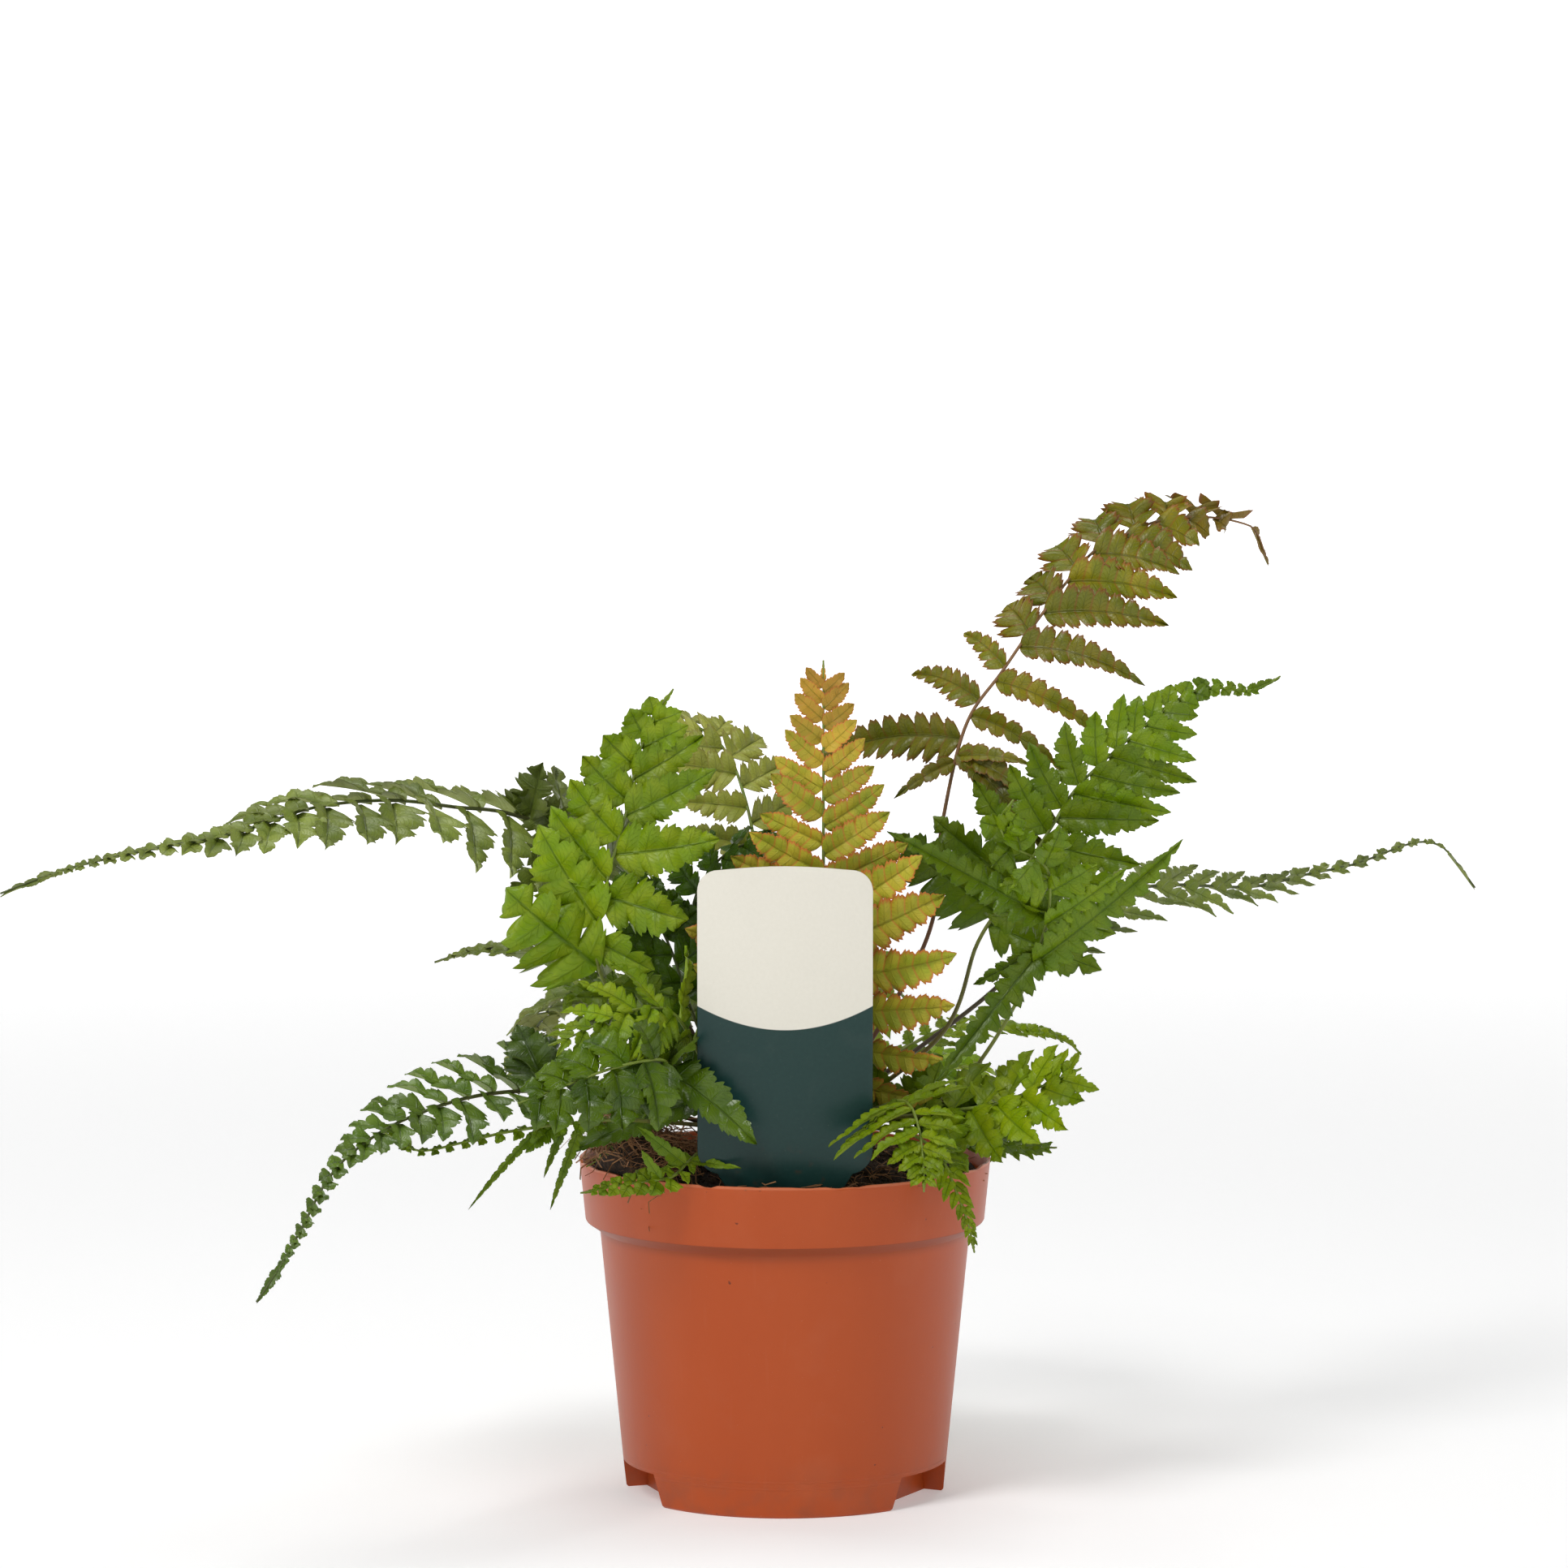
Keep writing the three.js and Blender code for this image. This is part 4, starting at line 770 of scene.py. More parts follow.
FRONDS = [
    dict(name="tall_bronze", tone="bronze", bare=0.475, end=0.93, pairs=11, crowding=1.1,
         path=[[6, 8, 90], [11, 9, 107], [41, 14, 159], [46, 20, 193], [53, 24, 222], [64, 28, 238],
               [77, 34, 256], [91, 42, 272], [101, 47, 277], [113, 54, 281], [126, 62, 281], [136, 68, 279],
               [141, 72, 276], [145, 77, 266]],
         face=[[-0.3, -0.9, 0.3], [-0.3, -0.7, 0.7]], spread=[96, 58, 48, 44, 40, 34],
         spread_left=[94, 64, 60, 68, 78], lift=[-8, -8, 0], lift_left=[-8, -4, 10, 24],
         leaf=[31, 32, 38, 37, 31, 25, 18, 10, 5, 2], leaf_left=[62, 30, 20, 17, 15, 15, 14, 12, 8, 5, 2],
         width=[0.12, 0.16, 0.18, 0.3], width_left=[0.13, 0.24, 0.3, 0.4], droop=0.26, sweep=0,
         cut=[0.6, 0.4, 0.26, 0.05], lobe=[5, 4.5, 4], blunt=1.7, blunt_tip=2.6, extra_cut=0.4,
         extra=[
             (0.475, (0.86, -0.4, 0.18), (0, -0.9, 0.5), 25, 0.12),
             (0.478, (0.92, -0.4, -0.25), (0, -1, 0.5), 34, 0.12),
             (0.48, (0.78, -0.4, -0.6), (0, -1, 0.3), 36, 0.13),
             (0.47, (-0.93, -0.3, -0.3), (0, -1, 0.3), 20, 0.15),
         ]),
    dict(name="yellow_middle", tone="yellow", bare=0.23, pairs=15, merging=0.5,
         path=[[4, -8, 90], [7, -12, 107], [11, -26, 143], [11, -29, 187], [11, -27, 217], [11, -23, 235],
               [11, -21, 245]],
         face=[[0, -1, 0.1], [0, -1, 0.3]], spread=[96, 68, 56, 48], lift=[6, 6],
         leaf=[34, 38, 41, 36, 26, 21, 17, 14, 11, 7], width=[0.19, 0.2, 0.27], droop=0.05,
         cut=[0.5, 0.3, 0.2, 0.12], lobe=[4.5, 3.5], blunt=3.2, blunt_tip=3),
    dict(name="bright_left_of_middle", tone="bright", bare=0.46, pairs=8,
         path=[[-13, -7, 90], [-18, -10, 107], [-45, -25, 142], [-54, -31, 160], [-51, -32, 182],
               [-46, -30, 200], [-42, -28, 218], [-37, -26, 230], [-32, -24, 237]],
         face=[[-0.1, -1, 0.2], [0.2, -1, 0.4]], spread=[128, 92, 56, 48, 46],
         spread_left=[30, 52, 64, 62, 50], lift=[8, 8], leaf=[24, 18, 32, 30, 24, 14, 5],
         leaf_left=[34, 31, 26, 21, 16, 10, 4], width=[0.32, 0.34, 0.24, 0.25, 0.32],
         width_left=[0.44, 0.27, 0.25, 0.27, 0.32], droop=0.05, cut=[0.8, 0.3, 0.18, 0.14],
         lobe=[8.5, 6, 5], blunt=2.8),
    dict(name="long_left", tone="olive", bare=0.32, pairs=25, crowding=2.1,
         path=[[-10, 8, 90], [-14, 9, 107], [-44, 12, 164], [-62, 6, 190], [-80, -4, 199], [-95, -15, 202],
               [-109, -27, 205], [-122, -39, 206], [-136, -52, 205], [-155, -70, 200], [-172, -83, 198],
               [-191, -94, 195], [-206, -101, 191], [-217, -104, 187]],
         face=[[0, -0.5, 0.86], [0, -0.4, 0.9]], spread=[80, 60, 40, 26, 20, 20],
         spread_left=[84, 74, 62, 46, 28, 22], lift=[-4, -4], leaf=[32, 29, 27, 25, 22, 15, 8, 4, 2.2],
         leaf_left=[30, 27, 25, 23, 18, 11, 5, 3, 2], width=[0.3, 0.26, 0.22, 0.2],
         width_left=[0.3, 0.27, 0.25, 0.22], droop=0.14, cut=[0.6, 0.45, 0.3], lobe=[6, 5, 4],
         extra=[
             (0.4, (0.1, -0.5, -0.85), (-0.2, -1, 0.4), 22, 0.34),
             (0.42, (0.2, -0.3, 0.9), (-0.3, -1, 0.2), 20, 0.36),
             (0.36, (-0.7, -0.6, -0.4), (0, -0.8, 0.6), 26, 0.3),
             (0.38, (-0.5, -0.3, 0.6), (0, -1, 0.3), 22, 0.34),
         ]),
    dict(name="drooping_left", tone="mossy", slot="dark", bare=0.3, pairs=25, crowding=2.1,
         path=[[-14, -11, 90], [-18, -14, 107], [-48, -32, 119], [-67, -48, 124], [-87, -72, 126],
               [-106, -98, 123], [-119, -118, 117], [-126, -130, 110], [-132, -143, 99], [-138, -152, 89],
               [-143, -158, 82]],
         face=[[0, -0.55, 0.83], [0.3, -0.7, 0.6]], spread=[90, 62, 40, 28, 24], lift=[8, 4],
         leaf=[26, 22, 19, 16, 11, 6, 3.2, 2.2, 1.8], leaf_left=[17, 18, 17, 14, 9, 5, 3, 2.2, 1.8],
         width=[0.36, 0.28, 0.22, 0.2], droop=0.08, cut=[0.5, 0.4, 0.3], lobe=[6, 4.5], extra_cut=0.12,
         extra=[
             (0.36, (-0.36, 0.22, 0.9), (-0.3, -1, 0.3), 21, 0.42),
         ]),
    dict(name="thin_left", tone="leafy", slot="olive", bare=0.48, pairs=13, crowding=1.3, merging=0.2,
         path=[[-9, -16, 90], [-12, -20, 107], [-42, -44, 115], [-60, -56, 116], [-78, -66, 115],
               [-91, -74, 113], [-103, -82, 112], [-112, -88, 118]],
         face=[[0, -0.5, 0.86], [0, -0.7, 0.7]], spread=[62, 40, 26], lift=[-20, -10],
         leaf=[3, 3, 2.6, 2.4, 2], leaf_left=[4, 4, 3, 2.4, 2], width=[0.5, 0.6], droop=0.1,
         cut=[0.4, 0.4], lobe=[2.4, 2.4], extra_cut=0.4,
         extra=[
             (0.63, (-0.68, -0.2, -0.6), (0, -1, 0.2), 25, 0.06),
             (0.58, (-0.4, -0.2, -0.9), (0, -1, 0.1), 13, 0.12),
             (0.54, (-0.38, -0.25, -0.9), (0.2, -1, 0), 21, 0.09),
             (0.6, (-0.7, -0.4, -0.5), (0, -1, 0.3), 10, 0.32),
             (0.93, (-0.66, -0.2, 0.72), (0, -1, 0.3), 12, 0.18),
         ]),
    dict(name="glossy_left_of_label", tone="glossy", slot="dark", bare=0.55, pairs=6,
         path=[[0, -18, 90], [-3, -22, 107], [-20, -36, 121], [-32, -47, 128], [-34, -58, 134],
               [-40, -65, 135], [-51, -71, 133], [-63, -76, 129], [-75, -80, 125]],
         face=[[0.3, -1, 0.3], [0, -0.9, 0.5]], spread=[75, 60, 50], spread_left=[100, 80, 56],
         leaf=[15, 16, 14, 10, 6], leaf_left=[14, 17, 15, 12, 8], width=[0.4, 0.38, 0.36], droop=0.18,
         cut=[0.24, 0.3], lobe=[5.5, 4.5], blunt=3, blunt_tip=2.2,
         extra=[
             (0.53, (0.8, -0.25, -0.42), (0, -1, 0.2), 26, 0.24),
             (0.5, (-0.4, -0.2, 0.9), (0.3, -0.9, 0.4), 16, 0.36),
             (0.36, (-0.97, -0.1, -0.22), (0, -0.8, 0.6), 38, 0.15),
             (0.62, (-0.2, -0.4, -0.9), (0, -1, 0.3), 13, 0.46),
         ]),
    dict(name="over_rim_left", tone="bright", bare=0.56, pairs=9, merging=0.8,
         path=[[-4, -18, 90], [-7, -21, 107], [-18, -35, 109], [-27, -46, 104], [-32, -55, 100.5],
               [-39, -60, 100], [-47, -62, 99], [-58, -63, 97]],
         face=[[0, -0.9, 0.45], [0, -0.9, 0.4]], spread=[66, 56, 40], leaf=[4, 5, 5, 4, 3, 1.6],
         leaf_left=[4, 5, 5, 4.5, 3, 1.6], width=[0.4, 0.5], droop=0, cut=[0.3, 0.3], lobe=[5, 4],
         extra=[
             (0.6, (-0.76, -0.2, 0.62), (0, -0.9, 0.4), 16, 0.17),
             (0.74, (-0.5, -0.2, 0.84), (0, -0.9, 0.4), 9, 0.22),
             (0.57, (0.93, -0.36, -0.12), (0, -0.75, 0.66), 14, 0.13),
         ]),
    dict(name="drooping_front_right", tone="lime", bare=0.55, pairs=9,
         path=[[7, -17, 90], [10, -20, 107], [29, -40, 119], [35, -52, 121], [38, -64, 115], [39, -74, 106],
               [39, -80, 100]],
         face=[[0, -0.7, 0.7], [0, -0.95, 0.3]], spread=[88, 72, 52], leaf=[28, 27, 21, 15, 10, 6, 4],
         leaf_left=[22, 17, 13, 11, 9, 6, 4], width=[0.13, 0.15, 0.2], width_left=[0.17, 0.24, 0.26],
         droop=0.08, cut=[0.45, 0.35], lobe=[3.5, 3], blunt_tip=2),
    dict(name="over_rim_right", tone="lime", bare=0.6, pairs=9, merging=0.65,
         path=[[13, -12, 90], [16, -15, 107], [34, -33, 110], [44, -45, 105], [49, -51, 95], [52, -52, 87],
               [54, -51, 78]],
         face=[[0, -0.6, 0.8], [0.2, -0.95, 0.3]], spread=[52, 40, 32], leaf=[9, 7, 5, 3.5, 2.5],
         width=[0.3, 0.3], droop=0.05, cut=[0.4, 0.4], lobe=[4, 4]),
    dict(name="low_right", tone="lime", slot="bright", bare=0.5, pairs=6,
         path=[[16, -6, 90], [20, -8, 107], [45, -20, 114], [59, -27, 117], [71, -32, 122], [85, -36, 129]],
         face=[[0, -0.8, 0.6], [0, -0.9, 0.5]], spread=[66, 50, 40], leaf=[20, 20, 16, 9],
         leaf_left=[18, 18, 14, 7], width=[0.34, 0.32], droop=0.02, cut=[0.45, 0.32], lobe=[5.5, 4.5],
         blunt=2.4,
         extra=[
             (0.44, (0.3, -0.2, 0.9), (0, -1, 0.4), 15, 0.36),
         ]),
    dict(name="dark_right", tone="leafy", slot="dark", bare=0.6, pairs=6,
         path=[[16, 0, 90], [20, -1, 107], [46, -9, 116], [58, -13, 130], [70, -18, 152], [75, -24, 169],
               [76, -30, 179], [75, -35, 186], [71, -39, 190], [64, -42, 194], [61, -43, 201],
               [65, -43, 207]],
         face=[[0, -1, 0.2], [0, -1, 0.2]], spread=[30, 60, 60], spread_left=[150, 105, 80, 70],
         lift=[-4, 4], leaf=[50, 24, 14, 12, 9, 6], leaf_left=[26, 22, 15, 12, 8, 5],
         width=[0.13, 0.28, 0.36], droop=0, cut=[0.65, 0.5, 0.35], lobe=[4.5, 4.5],
         extra=[
             (0.62, (-0.62, -0.25, -0.74), (0.1, -1, 0), 42, 0.13),
             (0.7, (-0.86, -0.1, 0.45), (0.1, -1, 0.3), 46, 0.13),
         ]),
    dict(name="big_upper_right", tone="leafy", slot="bright", bare=0.44, pairs=18, crowding=1.6,
         path=[[10, 5, 90], [15, 5, 107], [46, 3, 134], [56, 4, 160], [65, 5, 174], [77, 6, 193],
               [84, 8, 204], [93, 10, 213], [107, 12, 225], [117, 14, 232], [125, 16, 234], [137, 18, 233],
               [145, 20, 237]],
         face=[[0, -1, 0.15], [0, -0.9, 0.5]], spread=[80, 66, 58, 50, 40],
         spread_left=[96, 66, 50, 44, 36], lift=[6, 6], leaf=[34, 30, 28, 27, 24, 14, 6, 2.8, 2],
         leaf_left=[42, 30, 22, 20, 17, 10, 5, 2.8, 2], width=[0.24, 0.2, 0.2, 0.3], droop=0.06,
         cut=[0.7, 0.34, 0.15, 0.2], lobe=[6.5, 5, 4], blunt=2.6),
    dict(name="long_right", tone="olive", bare=0.34, pairs=20, crowding=1.6, merging=0.45,
         path=[[8, 11, 90], [13, 13, 107], [58, 24, 141], [78, 37, 158], [88, 47, 164], [103, 63, 169],
               [118, 78, 169], [142, 100, 166], [160, 116, 168], [176, 128, 170], [194, 140, 175],
               [203, 145, 174], [209, 149, 168], [215, 151, 160]],
         face=[[0, -0.5, 0.86], [0, -0.4, 0.9]], spread=[60, 44, 30, 24], spread_left=[44, 28, 22, 20],
         lift=[-4, -4], lift_left=[14, 14], leaf=[20, 20, 18, 15, 11, 7, 4.5, 3, 2],
         leaf_left=[24, 27, 24, 18, 13, 8, 4.5, 3, 2], width=[0.16, 0.15, 0.16], droop=0.06,
         cut=[0.5, 0.35]),
    dict(name="thin_back_right", tone="lime", bare=0.45, pairs=13,
         path=[[3, 13, 90], [6, 15, 107], [38, 32, 127], [54, 44, 131], [73, 58, 128], [84, 64, 124],
               [89, 67, 119]],
         face=[[0, -0.3, 0.95], [0, -0.3, 0.95]], spread=[62, 44], leaf=[12, 11, 9, 6, 3],
         width=[0.17, 0.22], droop=0.1, cut=[0.4, 0.4]),
    dict(name="olive_back_left", tone="faded", slot="olive", bare=0.5, pairs=9,
         path=[[-3, 11, 90], [-4, 14, 107], [-8, 36, 176], [-13, 48, 202], [-20, 60, 214], [-31, 72, 219],
               [-42, 84, 216], [-51, 95, 208]],
         face=[[0.2, -0.5, 0.85], [0, -0.2, 0.95]], spread=[70, 56, 44], lift=[-6, -6],
         leaf=[22, 22, 18, 13, 8, 4], width=[0.24, 0.28], droop=0.15, cut=[0.45, 0.35]),
    dict(name="dark_over_label", tone="dark", bare=0.6, pairs=7,
         path=[[-5, -3, 90], [-9, -4, 107], [-26, -1, 148], [-27, 1, 170], [-21, 1, 183], [-11, -1, 190],
               [6, -6, 193]],
         face=[[0.3, -0.4, 0.9], [0, -0.4, 0.9]], spread=[64, 50], lift=[-4, -4], leaf=[18, 17, 14, 9, 5],
         width=[0.3, 0.3], droop=0.1, cut=[0.45, 0.4]),
    dict(name="dark_left_of_label", tone="dark", bare=0.4, pairs=8,
         path=[[-10, -1, 90], [-13, -3, 107], [-27, -10, 142], [-32, -8, 157], [-37, -6, 168],
               [-43, -2, 178], [-49, 2, 183]],
         face=[[0, -0.95, 0.3], [0, -0.8, 0.6]], spread=[84, 60], leaf=[24, 24, 21, 15, 9, 5],
         width=[0.3, 0.3], droop=0.15, cut=[0.5, 0.4], lobe=[5.5, 4.5]),
    dict(name="small_back_left", tone="olive", bare=0.5, pairs=8,
         path=[[-12, 13, 90], [-15, 16, 107], [-44, 29, 140], [-66, 33, 152], [-80, 36, 155],
               [-92, 39, 154], [-104, 42, 150]],
         face=[[0, -0.3, 0.95], [0, -0.3, 0.95]], spread=[62, 36, 24], leaf=[16, 13, 9, 6, 3],
         width=[0.26, 0.3], droop=0.1, cut=[0.4, 0.3]),
    dict(name="low_back_left", tone="leafy", slot="dark", bare=0.5, pairs=6,
         path=[[-17, 2, 90], [-20, 3, 107], [-40, 8, 133], [-49, 10, 142], [-57, 12, 146], [-66, 13, 143]],
         face=[[0, -0.5, 0.85], [0, -0.5, 0.85]], spread=[64, 50], leaf=[15, 13, 10, 6],
         width=[0.32, 0.32], droop=0.1, cut=[0.4, 0.4]),
    dict(name="bright_pointing_left", tone="bright", bare=0.5, pairs=7, merging=0.5,
         path=[[-12, -14, 90], [-14, -18, 107], [-26, -38, 136], [-33, -47, 147], [-43, -53, 148],
               [-52, -57, 145], [-59, -60, 142], [-67, -62, 139]],
         face=[[0, -0.75, 0.65], [0, -0.85, 0.55]], spread=[70, 50, 36], leaf=[22, 24, 18, 11, 5],
         leaf_left=[20, 22, 17, 11, 5], width=[0.24, 0.26], droop=0.1, cut=[0.55, 0.5], lobe=[4, 3.5]),
    dict(name="short_right", tone="leafy", slot="bright", bare=0.56, pairs=8,
         path=[[18, 4, 90], [22, 4, 107], [48, -4, 107], [60, -8, 104], [70, -9, 102], [79, -9, 102]],
         face=[[0, -0.6, 0.8], [0, -0.6, 0.8]], spread=[50, 36], leaf=[10, 8, 6, 3], width=[0.28, 0.3],
         droop=0, cut=[0.4, 0.4],
         extra=[
             (0.28, (0.1, -0.4, 0.9), (0, -0.9, 0.4), 20, 0.3),
             (0.36, (0.5, -0.4, 0.75), (0, -0.9, 0.4), 22, 0.3),
             (0.44, (0.85, -0.4, 0.35), (0, -0.9, 0.4), 22, 0.28),
             (0.5, (0.75, -0.5, -0.2), (0, -0.9, 0.5), 19, 0.3),
             (0.3, (-0.5, -0.5, 0.7), (0, -0.9, 0.4), 18, 0.3),
             (0.4, (0.3, -0.8, 0.2), (0, -0.8, 0.6), 20, 0.3),
         ]),
    dict(name="back_low_left", tone="dark", bare=0.36, pairs=12,
         path=[[-6, 16, 90], [-8, 20, 107], [-24, 66, 141], [-35, 97, 136], [-46, 128, 113], [-53, 150, 86],
               [-55, 158, 74]],
         face=[[0, -0.2, 0.98], [-0.3, 0.8, 0.5]], leaf=[24, 26, 22, 16, 11, 7, 3], **BEHIND),
    dict(name="back_middle", tone="bright", bare=0.36, pairs=12,
         path=[[0, 17, 90], [1, 20, 107], [10, 66, 148], [16, 97, 146], [23, 127, 124], [27, 146, 100],
               [28, 153, 88]],
         face=[[0, -0.2, 0.98], [0.1, 0.8, 0.5]], leaf=[24, 26, 22, 16, 11, 7, 3], **BEHIND),
    dict(name="back_left", tone="olive", bare=0.37, pairs=11,
         path=[[-15, 8, 90], [-20, 10, 107], [-48, 50, 140], [-66, 78, 136], [-78, 98, 119],
               [-84, 110, 104]],
         face=[[0, -0.2, 0.98], [-0.5, 0.5, 0.6]], leaf=[22, 23, 20, 15, 10, 5], **BEHIND),
    dict(name="back_right", tone="bright", bare=0.41, pairs=11,
         path=[[12, 13, 90], [14, 16, 107], [39, 60, 119], [52, 89, 114], [64, 116, 98], [70, 132, 82]],
         face=[[0, -0.2, 0.98], [0.5, 0.6, 0.6]], leaf=[19, 20, 17, 13, 9, 5], **BEHIND),
]


def along(values, part):
    """A value that changes evenly along a frond, given at equal steps."""
    place = min(max(part, 0), 1) * (len(values) - 1)
    step = min(int(place), len(values) - 2)
    return values[step] + (values[step + 1] - values[step]) * (place - step)


def squared(way, axis):
    """A direction with its part along another one taken out."""
    return (way - axis * way.dot(axis)).normalized()


class Midrib:
    """The smooth line of a frond's stalk and midrib, by its length from 0 to 1."""

    def __init__(self, frond):
        self.frond = frond
        points = [Vector(p) for p in frond["path"]]
        points = [points[0] * 2 - points[1]] + points + [points[-1] * 2 - points[-2]]
        self.points = []
        for a, b, c, d in zip(points, points[1:], points[2:], points[3:]):
            for step in range(SPLINE_STEPS):
                t = step / SPLINE_STEPS
                first = (c - a) * 0.5
                last = (d - b) * 0.5
                self.points.append(
                    b * (2 * t ** 3 - 3 * t ** 2 + 1) + first * (t ** 3 - 2 * t ** 2 + t)
                    + c * (3 * t ** 2 - 2 * t ** 3) + last * (t ** 3 - t ** 2))
        self.points.append(points[-2])
        self.lengths = [0]
        for a, b in zip(self.points, self.points[1:]):
            self.lengths.append(self.lengths[-1] + (b - a).length)
        self.length = self.lengths[-1]

    def at(self, part):
        """The point, the way forward and the upper side at a part of the length."""
        goal = min(max(part, 0), 1) * self.length
        step = next((i for i, done in enumerate(self.lengths[1:]) if done >= goal), len(self.points) - 2)
        share = (goal - self.lengths[step]) / (self.lengths[step + 1] - self.lengths[step])
        centre = self.points[step].lerp(self.points[step + 1], share)
        before = self.points[max(step - 2, 0)]
        after = self.points[min(step + 3, len(self.points) - 1)]
        forward = (after - before).normalized()
        leafy = max(part - self.frond["bare"], 0) / (1 - self.frond["bare"])
        at_foot, at_tip = [Vector(face).normalized() for face in self.frond["face"]]
        return centre, forward, squared(at_foot.lerp(at_tip, leafy), forward)

    def leaflet_place(self, share):
        return self.frond["bare"] + (self.frond["end"] - self.frond["bare"]) * share


def leaflet_facts(frond, midrib, share, left, dice):
    """Where one leaflet grows and how it lies: root, way out, forward, upper side, length and half-width."""
    centre, forward, upper = midrib.at(midrib.leaflet_place(share))
    part = share ** (1 / TABLE_CROWDING)
    across = forward.cross(upper) * (-1 if left else 1)

    def given(name):
        return along(frond.get(name + "_left", frond[name]) if left else frond[name], part)

    length = given("leaf") * dice.uniform(*LENGTH_SPREAD)
    freedom = min(1, length / FREE_LENGTH)
    lift = math.radians(given("lift") + dice.uniform(*LIFT_SPREAD) * freedom)
    spread = math.radians(given("spread") + dice.uniform(*ANGLE_SPREAD))
    roll = math.radians(LEAFLET_ROLL + dice.uniform(*ROLL_SPREAD) * freedom)
    outward = across * math.cos(lift) + upper * math.sin(lift)
    way = forward * math.cos(spread) + outward * math.sin(spread)
    top = upper * math.cos(lift) - across * math.sin(lift)
    top = top * math.cos(roll) - forward * math.sin(roll)
    half = length * given("width")
    return centre, way, forward, squared(top, way), length, half, math.sin(spread)


# The leaf maker turns each leaflet's point into a thin closed blade. A flat grid of cells is bent by a
# formula: along its rib it sweeps forward and droops, and across it goes out to lobes that lean to its tip
# and have teeth. Small, middling and big leaflets have their own grids. The form is in half-widths.
LEAF_GRIDS = [(22, 4), (48, 4), (92, 6)]
BLADE_FORM = {"Cup": 0.12, "Tooth": 0.2, "Arch": 0.4, "Groove": 0.16, "Ripple": 0.16}
BLADE_THICKNESS = 0.4
CELLS_TO_EDGE = 1.25
NARROWING = 0.8
LOWER_SIDE_BROADER = 0.14
BROADENING = 2.2
BAY_SHARPNESS = 3.6
TEETH_A_LOBE = 3
leaf_maker = Nodes("leaflets_and_stalk", [
    ("Leaf", "NodeSocketMaterial"), ("Stalk", "NodeSocketMaterial"), ("Thickness", "NodeSocketFloat"),
    *((label, "NodeSocketFloat") for label in BLADE_FORM),
])
grade = leaf_maker.named("grade", "FLOAT")
grids = []
for number, (cells, across_cells) in enumerate(LEAF_GRIDS):
    grid = leaf_maker.node(
        "GeometryNodeMeshCube", 0, None, Size=(1, 2, 1), Vertices_X=cells + 1, Vertices_Y=across_cells + 1,
        Vertices_Z=2)
    grid = leaf_maker.kept(grid, "cell", leaf_maker.node("GeometryNodeInputPosition"))
    chosen = grade.math("COMPARE", float(number), 0.1)
    grids.append(leaf_maker.node(
        "GeometryNodeInstanceOnPoints", Points=leaf_maker.given("Geometry"), Selection=chosen, Instance=grid))
blades = leaf_maker.node("GeometryNodeRealizeInstances", Geometry=leaf_maker.joined_up(*grids))
cell_x, cell_y, cell_z = leaf_maker.named("cell").split()
length, half_width, lobes = leaf_maker.named("size").split()
sweep, droop, cut = leaf_maker.named("bend").split()
part = cell_x + 0.5
aside = cell_y.size() ** CELLS_TO_EDGE
lobe_part = (part * lobes).part_of_one()
root_width, bluntness, lean = leaf_maker.named("edge").split()
narrowing = part.math("POWER", bluntness).from_one().math("MAXIMUM", 0.0) ** NARROWING
upper_half = cell_y.math("SIGN") * -LOWER_SIDE_BROADER * part.from_one() + 1
shape = (part * BROADENING + root_width).math("MINIMUM", 1.0) * narrowing * upper_half
bay = ((lobe_part * 2 - 1).size() ** BAY_SHARPNESS) * part.ramp(0.995, 0.97)
tooth = ((lobe_part * TEETH_A_LOBE).part_of_one() - 0.5) * leaf_maker.given("Tooth") * aside
reach = shape * (bay * cut).from_one() * (tooth + 1) * half_width
side_way = reach * aside * cell_y.math("SIGN")
leaning = reach * aside * lean * part.ramp(1.0, 0.8)
dome = (lobe_part * math.pi).math("SINE") * aside * (aside * -0.8 + 1) * half_width * leaf_maker.given("Arch")
near_rib = (aside * -3 + 1).math("MAXIMUM", 0.0)
valley = near_rib * -1 * half_width * leaf_maker.given("Groove") * part.from_one()
tone_random, tone_part = leaf_maker.named("tone").split()[:2]
wave = (part * 9 + tone_random * 40).math("SINE") * aside * half_width * leaf_maker.given("Ripple")
height = reach * aside * leaf_maker.given("Cup") + dome + valley + wave
thickness = leaf_maker.given("Thickness") * (aside * -0.55 + 1) * part.ramp(1.05, 0.8)
height = height + cell_z * thickness
bend_length = part * part * length
way_out = leaf_maker.named("way")
upper_way = leaf_maker.named("upper")
breadth = way_out.vector("CROSS_PRODUCT", upper_way)
point = leaf_maker.named("root")
point = point.vector("ADD", way_out.vector("SCALE", part * length + leaning))
point = point.vector("ADD", leaf_maker.named("ahead").vector("SCALE", sweep * bend_length))
point = point.vector("ADD", joined(0.0, 0.0, droop * bend_length * -1))
point = point.vector("ADD", upper_way.vector("SCALE", height))
point = point.vector("ADD", breadth.vector("SCALE", side_way))
blades = leaf_maker.kept(blades, "leaf_place", joined(part * lobes, aside, cell_z * 2))
blades = leaf_maker.kept(blades, "leaf_tone", joined(tone_random, tone_part, 0.0))
blades = leaf_maker.node("GeometryNodeSetPosition", Geometry=blades, Position=point)
blades = leaf_maker.node("GeometryNodeSetMaterial", Geometry=blades, Material=leaf_maker.given("Leaf"))
line = leaf_maker.node(
    "GeometryNodeMeshToCurve", Mesh=leaf_maker.given("Geometry"), Selection=grade.math("LESS_THAN", -0.5))
round_section = leaf_maker.node("GeometryNodeCurvePrimitiveCircle", Resolution=8, Radius=1.0)
